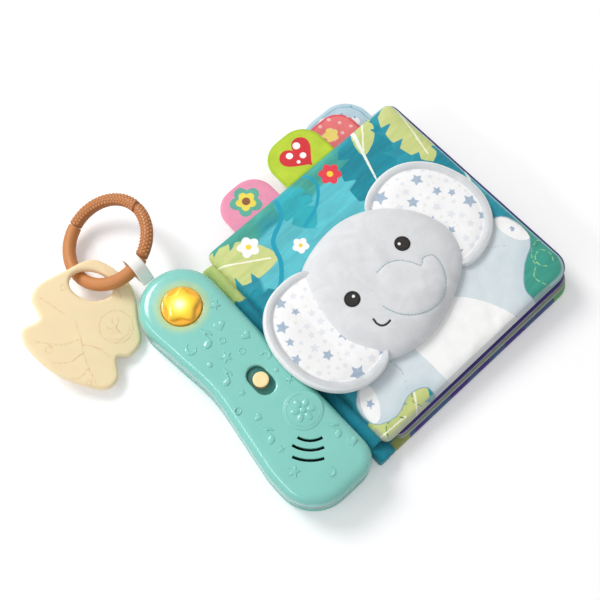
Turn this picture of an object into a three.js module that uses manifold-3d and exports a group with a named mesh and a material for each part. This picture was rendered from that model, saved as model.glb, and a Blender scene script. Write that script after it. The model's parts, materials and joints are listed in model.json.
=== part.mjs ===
// Crinkle cloth book for a baby, with a sound module along its spine.
// Millimetres, +Z up. The book lies shut on its back cover. The origin is the centre of the
// back cover's flat underside, +X runs from the spine to the fore edge, +Y to the tabbed edge.
import * as THREE from 'three';
import { mergeVertices } from 'three/addons/utils/BufferGeometryUtils.js';
import Module from 'manifold-3d';

const wasm = await Module();
wasm.setup();

const degree = Math.PI / 180;

// Shared clearances
const gap = 0.3;            // between pieces that lie against each other
const overrun = 1;          // how far a cutting solid passes the face that it cuts

// Book: fabric layers
const cloth = 0.8;          // one layer of printed cloth
const film = 0.4;           // crinkle film
const coverPadding = 3.6;   // batting at the front cover's middle
const backPadding = 3;      // batting in the back cover
const leafCount = 2;

// Book: outline
const coverHeight = 166;    // spine direction, the same for every leaf
const coverWidth = 170;     // module side to fore edge
const foreCorner = 13;      // corner radius at the fore edge
const spineCorner = 5;      // corner radius at the spine
const skewX = 1.25;         // each deeper leaf reaches this much further out
const skewY = 1.9;          // and sits this much lower on the spine
const coverPivotX = 3;      // fold line of the front cover
const coverPivotZ = 24;
const foldStrip = 3;        // soft strip between a fold line and its board
const leafPivotX = 13;      // fold line of the leaves
const leafFoldRoom = 2;     // free strip of the wrap before the leaves
const leafTilt = 1.1 * degree;    // each leaf rises this much more than the one below
const coverTilt = 3.3 * degree;
const crownPower = 6;       // how late the padded edge turns down
const spineFoot = 6;        // spine wrap's width on the floor

// Tabs along the top edge
const tabThickness = 1.4;
const greenTabLeft = 77;
const greenTabWidth = 43;
const greenTabReach = 30;
const greenTabCorner = 17;
const pinkTabLeft = 33;
const pinkTabWidth = 40;
const pinkTabReach = 28.5;
const pinkTabCorner = 16;
const redTabLeft = 110;
const redTabWidth = 40;
const redTabReach = 30;
const redTabCorner = 15;
const blueTabLeft = 112;
const blueTabWidth = 54;
const blueTabReach = 40;
const blueTabCorner = 20;
const tabs = [
  { name: 'green_tab', left: greenTabLeft, width: greenTabWidth, reach: greenTabReach,
    corner: greenTabCorner, leaf: 0, color: 0xb9d22a },
  { name: 'pink_tab', left: pinkTabLeft, width: pinkTabWidth, reach: pinkTabReach,
    corner: pinkTabCorner, leaf: 1, color: 0xf096b4 },
  { name: 'red_tab', left: redTabLeft, width: redTabWidth, reach: redTabReach,
    corner: redTabCorner, leaf: 2, color: 0xf07878 },
  { name: 'blue_tab', left: blueTabLeft, width: blueTabWidth, reach: blueTabReach,
    corner: blueTabCorner, leaf: 3, color: 0xbedce6 },
];

// Elephant head and ears on the front cover
const headCentreX = 78;
const headCentreY = 75.5;
const headHalfWidth = 52;
const headHalfHeight = 45.5;
const headRise = 14.5;      // stuffed height above its backing
const headSkin = 1;
const headShares = [
  [-0.97, 0.22], [-0.77, 0.76], [-0.35, 0.98], [0.16, 1], [0.57, 0.78], [0.88, 0.37],
  [1, -0.09], [0.87, -0.5], [0.61, -0.74], [0.02, -0.99], [-0.46, -0.985], [-0.78, -0.79],
  [-0.99, -0.4],
];
const eyeRadius = 4.8;
const eyeThickness = 0.9;
const eyeShares = { left_eye: [-0.53, 0.01], right_eye: [0.38, 0.12] };

const earHalfWidth = 37.5;
const earHalfHeight = 42;
const earThickness = 5;
const earBorder = 7;        // grey rim round the printed pad
const earAxisLift = 1;      // fold line above the ear's top
const rootReach = 13;       // how far the sewn root runs in behind the fold line
const leftEar = { x: 23, y: 73.5, z: 29, turn: 180 * degree, tilt: 12 * degree, inside: 6.5 };
const rightEar = { x: 129.6, y: 86.7, turn: 15 * degree, tilt: 1.5 * degree, inside: 3.7 };

// Sound module
const moduleRight = -2;     // straight side beside the spine
const moduleTop = 29;
const moduleWall = 2;
const starEndRadius = 26.5;
const starEndY = 146.3;
const speakerEndWidth = 56;
const speakerEndRadius = 26;
const moduleBottomY = -5;
const moduleCorner = 14;
const waistWidth = 48;
const waistY = 92;
const waistShares = { upperX: 0.44, upperY: 0.5, lowerX: 0.5, lowerY: 0.556, endY: 0.17 };
const shoulder = 8;         // rounding of the top edge
const footRounding = 2.5;
const partingZ = 8;

const postRadius = 3.6;
const screwShank = 1.4;
const screwHead = 2.8;
const screwHeadThickness = 2.2;
const screwRecess = 3.2;
const screwClearance = 0.35;
const screwReach = 20;
const postInset = 8.7;      // posts' distance from the case's straight side
const postRise = 10.2;      // first post past the middle of the star end
const waistPostY = 49;
const postPlaces = [
  [moduleRight - postInset, starEndY + postRise],
  [moduleRight - postInset, moduleBottomY + postInset],
  [moduleRight - waistWidth, waistPostY],
];
const bossWall = 1;         // plastic round a screw's recess

const boardThickness = 1.6;
const boardZ = 17;
const boardLeft = -41;
const boardRight = -16;
const boardLow = 60;
const boardHigh = 161;
const boardScrewX = -20.5;
const boardScrewY = 126;
const boardScrewShank = 1;
const boardScrewHead = 2.1;
const boardHeadHeight = 1.5;
const boardScrewCover = 3;  // plastic left above the board screw's point
const boardBoss = 2.8;

const buttonX = -28.5;
const buttonY = 144.5;
const buttonRadius = 12.5;
const buttonFlange = 14;
const flangeThickness = 1.5;
const buttonRise = 1.6;     // round base above the module's top
const starRise = 3;         // star above the round base
const starOuter = 11.8;
const starInnerShare = 0.72;
const stemRadius = 3;
const domeRadius = 5.2;
const domeHeight = 3.8;
const lampRadius = 2.5;
const lampHeight = 3.4;
const lampOffset = 8.5;

const switchX = -23.5;
const switchY = 77;
const slotLength = 20;
const slotWidth = 12.4;
const knobRadius = 4.9;
const knobRise = 1;
const knobEdge = 0.5;       // rounding of the knob's rim
const knobTravel = 3.8;     // each way
const skirtThickness = 1;
const skirtOverlap = 1;     // skirt beyond the slot
const switchWidth = 8;
const switchLength = 14;
const switchHeight = 5;
const switchStem = 2.6;
const switchGroove = 3;     // depth of the groove that the stem runs in

const speakerX = -30.6;
const speakerY = 26.4;
const speakerRadius = 17.5;
const speakerFlange = 1.7;
const speakerDepth = 15.5;
const basketShare = 0.38;   // magnet's share of the depth
const basketRim = 1;
const magnetRadius = 9.5;
const coneThickness = 0.6;
const grilleX = -17;
const grilleY = 41;
const grilleWidth = 1.7;
const grilleSlots = [
  { radius: 14.3, from: 197 * degree, to: 258 * degree },
  { radius: 19.8, from: 196 * degree, to: 252 * degree },
  { radius: 25.8, from: 204 * degree, to: 246 * degree },
];

const batteryRadius = 5.25;
const batteryLength = 44.5;
const nubShare = 0.38;      // raised contact at the cell's end
const nubHeight = 1;
const batteryPitch = 11.6;
const batteryX = -39;
const bayLow = 52;          // speaker side of the battery bay
const contactThickness = 0.6;
const springLength = 2.6;
const contactInset = 1;     // contact plates inside the cells' outline
const doorThickness = 1.8;
const doorMargin = 1;       // door beyond the cells at each side
const doorScrewShank = 1.2;
const doorScrewLength = 5;

const bindLow = 15;         // stretch of the case's side that grips the book's hem
const bindHigh = 136;
const hemThickness = 1.8;
const hemReach = 10.5;      // hem inside the case
const ledgeWidth = 10;
const clampThickness = 3;
const clampScrewShares = [0.22, 0.78];
const clampScrewShank = 1.2;
const clampScrewHead = 2.4;
const clampHeadHeight = 2;

// Ribbon, ring and teether
const ribbonX = -31.5;
const ribbonWidth = 8.3;
const ribbonZ = 19;
const ribbonThickness = 1;
const ribbonStandoff = 2;   // ribbon's fold line outside the case
const ribbonTail = 4;       // anchored end inside the case's wall
const ringX = -33.5;
const ringY = 215;
const ringZ = 18;
const ringRadius = 28.8;    // to the middle of its section
const ringSection = 4.2;
const ringSlopeX = 0.33;    // rise of the ring's plane per millimetre
const ringSlopeY = -0.19;
const teetherThickness = 5.6;
const teetherEdge = 1.6;
const teetherX = -59.8;     // middle of its oval hole
const teetherY = 199.6;
const teetherSlope = 0.27;  // rise towards the corner that lies on the ring
const teetherWidth = 72.6;
const teetherHeight = 78.3;
const teetherShares = [
  [-0.11, 0.225], [0.17, 0.16], [0.275, -0.19], [0.12, -0.47], [0.02, -0.615], [-0.13, -0.65],
  [-0.225, -0.6], [-0.33, -0.735], [-0.45, -0.755], [-0.57, -0.65], [-0.72, -0.39],
  [-0.755, -0.06], [-0.7, 0.025], [-0.535, 0.02], [-0.475, 0.185], [-0.38, 0.245],
];
const teetherHoleLong = 0.3512 * teetherHeight;
const teetherHoleWide = 0.249 * teetherHeight;

// Colours from the photograph
const paint = {
  teal: 0x8cd0c8, tealDark: 0x6fbcb0, yellow: 0xffd714, cream: 0xfae6aa, brown: 0xc8824b,
  teether: 0xfde4b7, ribbon: 0xfaf8f4, grey: 0xd4d6d9, earWhite: 0xf4f4f2, trim: 0xc8cdd2,
  print: 0x1496a0, lining: 0x5aa08c, purple: 0x3c2d78, leafFront: 0x8c968c, batting: 0xf2f2ee,
  crinkle: 0xe6eef2, black: 0x18181a, board: 0x2d7a46, steel: 0xb4b6ba,
  cell: 0x3a3c40, rubber: 0xe0e0dc, lamp: 0xfff4c0, darkPlastic: 0x2c2c30, magnet: 0x606266,
};

// Solids and booleans

function solid(geometry) {
  const bare = geometry.clone();
  bare.deleteAttribute('normal');
  bare.deleteAttribute('uv');
  const merged = mergeVertices(bare, 1e-4);
  return new wasm.Manifold(new wasm.Mesh({
    numProp: 3,
    vertProperties: new Float32Array(merged.attributes.position.array),
    triVerts: new Uint32Array(merged.index.array),
  }));
}

function geometryOf(body) {
  const mesh = body.getMesh();
  const geometry = new THREE.BufferGeometry();
  const places = new Float32Array(mesh.numVert * 3);
  for (let i = 0; i < mesh.numVert; i++) {
    for (let k = 0; k < 3; k++) places[3 * i + k] = mesh.vertProperties[mesh.numProp * i + k];
  }
  geometry.setAttribute('position', new THREE.BufferAttribute(places, 3));
  geometry.setIndex(new THREE.BufferAttribute(new Uint32Array(mesh.triVerts), 1));
  geometry.computeVertexNormals();
  return geometry;
}

const joined = (first, ...rest) => rest.reduce((body, next) => body.add(next), first);
const without = (first, ...rest) => rest.reduce((body, next) => body.subtract(next), first);

// A closed skin through loops of points that all have the same count, with a fan at each end
function loft(loops) {
  const count = loops[0].length;
  const points = loops.flat();
  const faces = [];
  for (let ring = 0; ring + 1 < loops.length; ring++) {
    for (let i = 0; i < count; i++) {
      const a = ring * count + i;
      const b = ring * count + (i + 1) % count;
      faces.push(a, b, b + count, a, b + count, a + count);
    }
  }
  for (const [ring, flip] of [[0, true], [loops.length - 1, false]]) {
    const middle = points.length;
    const centre = loops[ring].reduce((sum, p) => sum.map((v, k) => v + p[k] / count), [0, 0, 0]);
    points.push(centre);
    for (let i = 0; i < count; i++) {
      const a = ring * count + i;
      const b = ring * count + (i + 1) % count;
      faces.push(...(flip ? [middle, b, a] : [middle, a, b]));
    }
  }
  const geometry = new THREE.BufferGeometry();
  geometry.setAttribute('position', new THREE.Float32BufferAttribute(points.flat(), 3));
  geometry.setIndex(faces);
  if (signedVolume(points, faces) < 0) {
    geometry.setIndex(faces.map((_, i) => faces[i - (i % 3) + 2 - (i % 3)]));
  }
  geometry.computeVertexNormals();
  return geometry;
}

function signedVolume(points, faces) {
  let volume = 0;
  for (let i = 0; i < faces.length; i += 3) {
    const [a, b, c] = [0, 1, 2].map((k) => new THREE.Vector3(...points[faces[i + k]]));
    volume += a.dot(b.cross(c));
  }
  return volume;
}

const levelLoop = (outline, z) => outline.map(([x, y]) => [x, y, z]);

// A flat plate of any outline
function plate(outline, low, high) {
  const shape = new THREE.Shape(outline.map(([x, y]) => new THREE.Vector2(x, y)));
  const geometry = new THREE.ExtrudeGeometry(shape, { depth: high - low, bevelEnabled: false });
  return geometry.translate(0, 0, low);
}

// A cushion or a curved cloth: two heights above an outline that shrinks to its centre
function cushion(outline, centre, shares, top, bottom) {
  const ring = (share, height) => outline.map(([x, y]) => [
    centre[0] + share * (x - centre[0]), centre[1] + share * (y - centre[1]), height(share),
  ]);
  return loft([
    ...shares.map((share) => ring(share, bottom)),
    ...shares.toReversed().map((share) => ring(share, top)),
  ]);
}

function box(low, high) {
  const size = low.map((v, k) => high[k] - v);
  const geometry = new THREE.BoxGeometry(...size);
  return geometry.translate(...low.map((v, k) => v + size[k] / 2));
}

function pillar(x, y, radius, low, high, sides = 16) {
  const geometry = new THREE.CylinderGeometry(radius, radius, high - low, sides);
  return geometry.rotateX(Math.PI / 2).translate(x, y, (low + high) / 2);
}

function turned(profile, x, y, sides = 24) {
  const closed = [...profile, profile[0]].map(([r, z]) => new THREE.Vector2(r, z));
  return new THREE.LatheGeometry(closed, sides).rotateX(Math.PI / 2).translate(x, y, 0);
}

// Outlines

function arc(x, y, radius, from, to, steps) {
  return Array.from({ length: steps + 1 }, (_, i) => {
    const angle = from + (to - from) * i / steps;
    return [x + radius * Math.cos(angle), y + radius * Math.sin(angle)];
  });
}

function roundedSheet(left, low, right, high, spineRadius, foreRadius, steps = 5) {
  return [
    ...arc(right - foreRadius, low + foreRadius, foreRadius, -90 * degree, 0, steps),
    ...arc(right - foreRadius, high - foreRadius, foreRadius, 0, 90 * degree, steps),
    ...arc(left + spineRadius, high - spineRadius, spineRadius, 90 * degree, 180 * degree, 2),
    ...arc(left + spineRadius, low + spineRadius, spineRadius, 180 * degree, 270 * degree, 2),
  ];
}

function smoothClosed(points, count) {
  const curve = new THREE.CatmullRomCurve3(
    points.map(([x, y]) => new THREE.Vector3(x, y, 0)), true, 'centripetal');
  return curve.getSpacedPoints(count).slice(0, count).map((p) => [p.x, p.y]);
}

function moveIn(outline, distance) {
  const count = outline.length;
  return outline.map(([x, y], i) => {
    const before = outline[(i + count - 1) % count];
    const after = outline[(i + 1) % count];
    const along = new THREE.Vector2(after[0] - before[0], after[1] - before[1]).normalize();
    return [x - along.y * distance, y + along.x * distance];
  });
}

function slot(x, y, width, length, steps = 6) {
  const half = length / 2 - width / 2;
  return [
    ...arc(x, y + half, width / 2, 0, Math.PI, steps),
    ...arc(x, y - half, width / 2, Math.PI, 2 * Math.PI, steps),
  ];
}

function arcSlot({ radius, from, to }, steps = 8) {
  return [
    ...arc(grilleX, grilleY, radius + grilleWidth / 2, from, to, steps),
    ...arc(grilleX, grilleY, radius - grilleWidth / 2, to, from, steps),
  ];
}

// The scene graph

const toy = new THREE.Group();
const book = new THREE.Group();
toy.add(book);

function place(parent, name, geometry, color, roughness = 0.6, metalness = 0) {
  const shape = geometry.isBufferGeometry ? geometry : geometryOf(geometry);
  const mesh = new THREE.Mesh(shape, new THREE.MeshStandardMaterial({ color, roughness, metalness }));
  mesh.name = name;
  parent.add(mesh);
  return mesh;
}

// Heights of the stack at the spine

const backThickness = 2 * cloth + film + backPadding + 3 * gap;
const leafThickness = 2 * cloth + film + 2 * gap;
const leafPitch = leafThickness + gap;
const coverBottom = backThickness + gap + leafCount * leafPitch;
const coverFilmZ = coverBottom + cloth + gap;
const coverPaddingZ = coverFilmZ + film + gap;
const coverEdgeZ = coverBottom + cloth + gap;
const coverTop = coverPaddingZ + coverPadding + gap + cloth;
const backRight = coverWidth + (leafCount + 1) * skewX;
const backLow = -(leafCount + 1) * skewY;
const crown = (share) => Math.sqrt(Math.max(0, 1 - share ** crownPower));
const sheetShares = [0.45, 0.75, 0.88, 0.95, 0.985, 1];

book.position.set(
  -(spineFoot + gap + backRight) / 2,
  -(backLow + backLow + coverHeight) / 2,
  0,
);

// Back cover: outer cloth on the floor, film, batting and an inner cloth drawn in at the sides
function buildBackCover() {
  const left = spineFoot + gap;
  const sheet = roundedSheet(left, backLow, backRight, backLow + coverHeight, spineCorner, foreCorner);
  const centre = [(left + backRight) / 2, backLow + coverHeight / 2];
  const scaled = (share) => sheet.map(([x, y]) => [
    centre[0] + share * (x - centre[0]), centre[1] + share * (y - centre[1])]);
  const inset = sheetShares[3];
  const edge = cloth + gap;
  const rise = backThickness - cloth - edge;
  const under = (share) => edge + rise * crown(share * share);
  place(book, 'back_cover_outer_cloth', plate(sheet, 0, cloth), paint.purple, 0.9);
  const filmZ = cloth + gap;
  place(book, 'back_cover_crinkle_film', plate(scaled(inset), filmZ, filmZ + film), paint.crinkle, 0.3);
  const paddingZ = filmZ + film + gap;
  place(book, 'back_cover_padding', cushion(scaled(inset), centre, [0.5, 0.85, 1],
    (share) => under(share * inset) - gap, () => paddingZ), paint.batting, 1);
  place(book, 'back_cover_inner_cloth', cushion(sheet, centre, sheetShares,
    (share) => under(share) + cloth, under), paint.lining, 0.9);
  buildTab(book, tabs[leafCount + 1], 0, backLow + coverHeight, cloth + gap / 2);
}

// Spine wrap: a roll of cloth beside the module, with the hem that the module grips
function buildSpineWrap() {
  const side = moduleRight + gap;
  const slant = leafPivotX - leafFoldRoom;
  const top = coverBottom - gap;
  const profile = [
    [side, 0], [spineFoot, 0], [spineFoot, backThickness + gap], [slant, backThickness + gap],
    [slant, backThickness + leafThickness / 2], [coverPivotX + foldStrip / 2, top], [side, top],
  ];
  const roll = plate(profile, 0, coverHeight).rotateX(Math.PI / 2)
    .translate(0, backLow + coverHeight, 0);
  const hem = box([moduleRight - hemReach, bindLow + gap, hemZ],
    [side + overrun, bindHigh - gap, hemZ + hemThickness]);
  const holes = clampScrewPlaces.map((y) => solid(pillar(
    clampScrewX, y, clampScrewShank + screwClearance, hemZ - overrun, hemZ + hemThickness + overrun, 10)));
  place(book, 'spine_wrap', without(joined(solid(roll), solid(hem)), ...holes), paint.lining, 0.9);
}

// One inner leaf: two cloths with crinkle film between them, and its tab
function buildLeaf(number) {
  const depth = leafCount - number;
  const pivotZ = backThickness + gap + depth * leafPitch + leafThickness / 2;
  const group = new THREE.Group();
  group.position.set(leafPivotX, 0, pivotZ);
  group.rotation.y = -leafTilt * (depth + 1);
  book.add(group);
  const right = coverWidth + number * skewX - leafPivotX;
  const low = -number * skewY;
  const sheet = roundedSheet(foldStrip, low, right, low + coverHeight, spineCorner, foreCorner, 4);
  const filmSheet = roundedSheet(foldStrip + spineCorner, low + spineCorner, right - spineCorner,
    low + coverHeight - spineCorner, spineCorner, foreCorner, 2);
  const bottom = -leafThickness / 2;
  const filmZ = bottom + cloth + gap;
  const color = [paint.purple, paint.leafFront, paint.lining][number - 1];
  place(group, `leaf_${number}_back_cloth`, plate(sheet, bottom, bottom + cloth), color, 0.9);
  place(group, `leaf_${number}_crinkle_film`, plate(filmSheet, filmZ, filmZ + film), paint.crinkle, 0.3);
  place(group, `leaf_${number}_front_cloth`, plate(sheet, filmZ + film + gap, bottom + leafThickness),
    color, 0.9);
  buildTab(group, tabs[number], leafPivotX, low + coverHeight, 0);
}

function buildTab(parent, tab, shift, edge, middleZ) {
  const sheet = roundedTab(tab.left - shift, edge + gap, tab.width, tab.reach - gap, tab.corner);
  place(parent, tab.name, plate(sheet, middleZ - tabThickness / 2, middleZ + tabThickness / 2),
    tab.color, 0.7);
}

function roundedTab(left, low, width, reach, corner) {
  const right = left + width;
  const high = low + reach;
  return [
    [left, low], [right, low],
    ...arc(right - corner, high - corner, corner, 0, 90 * degree, 6),
    ...arc(left + corner, high - corner, corner, 90 * degree, 180 * degree, 6),
  ];
}

// Front cover: lining, film, batting and the printed cloth drawn down to a seam
const coverGroup = new THREE.Group();
coverGroup.position.set(coverPivotX, 0, coverPivotZ);
coverGroup.rotation.y = -coverTilt;
book.add(coverGroup);

function buildFrontCover() {
  const left = foldStrip;
  const right = coverWidth - coverPivotX;
  const sheet = roundedSheet(left, 0, right, coverHeight, spineCorner, foreCorner);
  const centre = [(left + right) / 2, coverHeight / 2];
  const scaled = (share) => sheet.map(([x, y]) => [
    centre[0] + share * (x - centre[0]), centre[1] + share * (y - centre[1])]);
  const edge = coverEdgeZ - coverPivotZ;
  const rise = coverTop - cloth - coverEdgeZ;
  const under = (share) => edge + rise * crown(share);
  const bottom = coverBottom - coverPivotZ;
  const filmShare = 0.965;
  const paddingShare = 0.95;
  place(coverGroup, 'front_cover_lining', plate(sheet, bottom, bottom + cloth), paint.lining, 0.9);
  const filmZ = coverFilmZ - coverPivotZ;
  place(coverGroup, 'front_cover_crinkle_film', plate(scaled(filmShare), filmZ, filmZ + film),
    paint.crinkle, 0.3);
  place(coverGroup, 'front_cover_padding', cushion(scaled(paddingShare), centre, [0.5, 0.8, 0.93, 1],
    (share) => under(share * paddingShare) - gap, () => coverPaddingZ - coverPivotZ), paint.batting, 1);
  place(coverGroup, 'front_cover_printed_cloth', cushion(sheet, centre, sheetShares,
    (share) => under(share) + cloth, under), paint.print, 0.85);
  buildTab(coverGroup, tabs[0], coverPivotX, coverHeight, bottom + cloth + tabThickness / 2);
}

// Elephant head: stuffing under a domed face cloth, with two sewn eyes
const headOutline = smoothClosed(headShares.map(([x, y]) => [
  headCentreX - coverPivotX + x * headHalfWidth, headCentreY + y * headHalfHeight]), 36).toReversed();
const headMiddle = [headCentreX - coverPivotX, headCentreY];
const headBase = coverTop + gap - coverPivotZ;
const headSeamZ = headBase + gap;
const headUnder = (share) => headSeamZ + (headRise - headSkin) * (1 - share ** 3) ** 0.5;

function buildHead() {
  const shares = [0.3, 0.6, 0.8, 0.92, 0.98, 1];
  const stuffingShare = 0.95;
  const stuffing = headOutline.map((p) =>
    p.map((v, k) => headMiddle[k] + stuffingShare * (v - headMiddle[k])));
  place(coverGroup, 'head_stuffing', cushion(stuffing, headMiddle, [0.3, 0.6, 0.84, 1],
    (share) => headUnder(share * stuffingShare) - gap, () => headBase), paint.batting, 1);
  place(coverGroup, 'head_face', cushion(headOutline, headMiddle, shares,
    (share) => headUnder(share) + headSkin, headUnder), paint.grey, 0.95);
  const filled = solid(cushion(headOutline, headMiddle, shares,
    (share) => headUnder(share) + headSkin + gap, () => headBase));
  for (const [name, [x, y]] of Object.entries(eyeShares)) {
    const high = headUnder(Math.hypot(x, y) - eyeRadius / headHalfWidth) + headSkin + eyeThickness;
    const disc = pillar(headMiddle[0] + x * headHalfWidth, headMiddle[1] + y * headHalfHeight,
      eyeRadius, headSeamZ, high, 20);
    place(coverGroup, name, without(solid(disc), filled), paint.black, 0.4);
  }
}

// One ear: a root sewn to the head's edge, and a padded flap that folds on a straight line.
// In its own frame the fold line is Y, and X points away from the head.
function buildEar(side, ear) {
  const axisZ = (ear.z ?? coverTop + gap + earThickness + earAxisLift) - coverPivotZ;
  const group = new THREE.Group();
  group.position.set(ear.x - coverPivotX, ear.y, axisZ);
  group.rotation.z = ear.turn;
  coverGroup.add(group);
  const flap = new THREE.Group();
  flap.rotation.y = -ear.tilt;
  group.add(flap);

  const outline = arc(0, 0, 1, 0, 2 * Math.PI, 36).slice(0, 36).map(([x, y]) => [
    Math.sign(x) * Math.abs(x) ** 0.93 * earHalfWidth - ear.inside,
    Math.sign(y) * Math.abs(y) ** 0.93 * earHalfHeight]);
  const centre = [-ear.inside, 0];
  const low = -earAxisLift - earThickness;
  const inner = moveIn(outline, earBorder);
  const full = solid(cushion(outline, centre, [0.6, 0.86, 0.95, 1],
    (share) => low + 1.2 * gap + (earThickness - 1.2 * gap) * (1 - share ** 7) ** 0.45, () => low));
  const padding = solid(cushion(inner, centre, [0.35, 0.7, 0.9, 1],
    (share) => low + earThickness * (0.62 + 0.3 * (1 - share ** 3)), () => low));
  const well = solid(plate(moveIn(inner, -gap), low - overrun, low + earThickness + overrun));
  const span = earHalfWidth + earHalfHeight;
  const beyond = solid(box([gap / 2, -span, low - span], [span, span, span]));
  const within = solid(box([-span, -span, low - span], [-gap / 2, span, span]));
  place(flap, `${side}_ear_border`, without(full, well).intersect(beyond), paint.trim, 0.95);
  place(flap, `${side}_ear_pad`, padding.intersect(beyond), paint.earWhite, 0.9);

  const toEar = new THREE.Matrix4().makeRotationZ(-ear.turn)
    .multiply(new THREE.Matrix4().makeTranslation(coverPivotX - ear.x, -ear.y, 0));
  const headPrism = plate(moveIn(headOutline, -2 * gap), headBase - axisZ - overrun, overrun)
    .applyMatrix4(toEar);
  const sewn = solid(plate(outline, headBase - axisZ, low + earThickness * 0.6));
  const reach = solid(box([-rootReach, -span, -span], [span, span, overrun]));
  place(group, `${side}_ear_root`, without(sewn.intersect(within).intersect(reach), solid(headPrism)),
    paint.trim, 0.95);
}

// Outline of the sound module: a round star end, a drawn-in waist and a wide speaker end
function moduleOutline() {
  const starX = moduleRight - starEndRadius;
  const left = moduleRight - speakerEndWidth;
  const starLeft = moduleRight - 2 * starEndRadius;
  const speakerX = left + speakerEndRadius;
  const speakerTopY = moduleBottomY + speakerEndRadius;
  const waistX = moduleRight - waistWidth;
  const { upperX, upperY, lowerX, lowerY, endY } = waistShares;
  const waist = smoothOpen([
    [starLeft, starEndY],
    [waistX + upperX * (starLeft - waistX), waistY + upperY * (starEndY - waistY)],
    [waistX, waistY],
    [waistX + lowerX * (left - waistX), speakerTopY + lowerY * (waistY - speakerTopY)],
    [left, speakerTopY + endY * (waistY - speakerTopY)],
  ], 12);
  return [
    ...arc(starX, starEndY, starEndRadius, 0, Math.PI, 14),
    ...waist.slice(1),
    ...arc(speakerX, speakerTopY, speakerEndRadius, Math.PI, 1.5 * Math.PI, 7),
    ...arc(moduleRight - moduleCorner, moduleBottomY + moduleCorner, moduleCorner, -90 * degree, 0, 5),
  ];
}

function smoothOpen(points, count) {
  const curve = new THREE.CatmullRomCurve3(points.map(([x, y]) => new THREE.Vector3(x, y, 0)));
  return curve.getSpacedPoints(count).map((p) => [p.x, p.y]);
}

// The case's skin at a given depth: rounded above the parting line and at the foot
function caseSkin(outline, depth, lowZ, highZ, rounding, side) {
  const radius = Math.max(rounding - depth, overrun / 2);
  const ring = (inset, z) => levelLoop(moveIn(outline, inset), z);
  const turnAt = side > 0 ? highZ - radius : lowZ + radius;
  const bend = [0, 1, 2, 3].map((step) => {
    const angle = step / 3 * 90 * degree;
    return ring(depth + radius * (1 - Math.cos(angle)), turnAt + side * radius * Math.sin(angle));
  });
  return side > 0 ? loft([ring(depth, lowZ), ...bend]) : loft([...bend.toReversed(), ring(depth, highZ)]);
}

const caseOutline = moduleOutline();
const innerTop = moduleTop - moduleWall;
const upperLow = partingZ + gap;
const hemZ = partingZ - hemThickness / 2;
const clampScrewX = moduleRight - hemReach / 2 - moduleWall / 2;
const clampScrewPlaces = clampScrewShares.map((share) => bindLow + share * (bindHigh - bindLow));
const doorLow = bayLow;
const doorHigh = bayLow + 2 * contactThickness + springLength + batteryLength + 2 * gap;
const doorLeft = batteryX - batteryRadius - doorMargin;
const doorRight = batteryX + batteryPitch + batteryRadius + doorMargin;
const doorScrewX = batteryX + batteryPitch / 2;
const doorScrewY = doorLow - screwHead;
const batteryZ = doorThickness + gap + batteryRadius;

function bindingCut() {
  return solid(box([moduleRight - moduleWall - overrun, bindLow, hemZ - gap],
    [moduleRight + overrun, bindHigh, hemZ + hemThickness + gap]));
}

function buildUpperCase() {
  const outer = solid(caseSkin(caseOutline, 0, upperLow, moduleTop, shoulder, 1));
  const inner = solid(caseSkin(caseOutline, moduleWall, upperLow - overrun, innerTop, shoulder, 1));
  const posts = postPlaces.map(([x, y]) => solid(pillar(x, y, postRadius, upperLow, innerTop + overrun / 2)));
  const bores = postPlaces.map(([x, y]) => solid(pillar(
    x, y, screwShank + screwClearance, upperLow - overrun, screwReach + overrun, 10)));
  const boss = solid(pillar(boardScrewX, boardScrewY, boardBoss, boardZ + boardThickness + gap,
    innerTop + overrun / 2, 10));
  const bossBore = solid(pillar(boardScrewX, boardScrewY, boardScrewShank + screwClearance, boardZ,
    innerTop - boardScrewCover + overrun, 8));
  const cuts = [
    pillar(buttonX, buttonY, buttonRadius + gap, innerTop - overrun, moduleTop + overrun, 32),
    plate(slot(switchX, switchY, slotWidth, slotLength), innerTop - overrun, moduleTop + overrun),
    ...grilleSlots.map((item) => plate(arcSlot(item), innerTop - overrun, moduleTop + overrun)),
    box([ribbonX - ribbonWidth / 2 - gap, ribbonInnerY, ribbonZ - ribbonThickness - 2 * gap],
      [ribbonX + ribbonWidth / 2 + gap, ribbonPivotY, ribbonZ + ribbonThickness + 2 * gap]),
  ].map(solid);
  const shell = joined(without(outer, inner), ...posts, boss);
  place(book, 'upper_case', without(shell, bindingCut(), ...bores, bossBore, ...cuts), paint.teal, 0.35);
}

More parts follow.
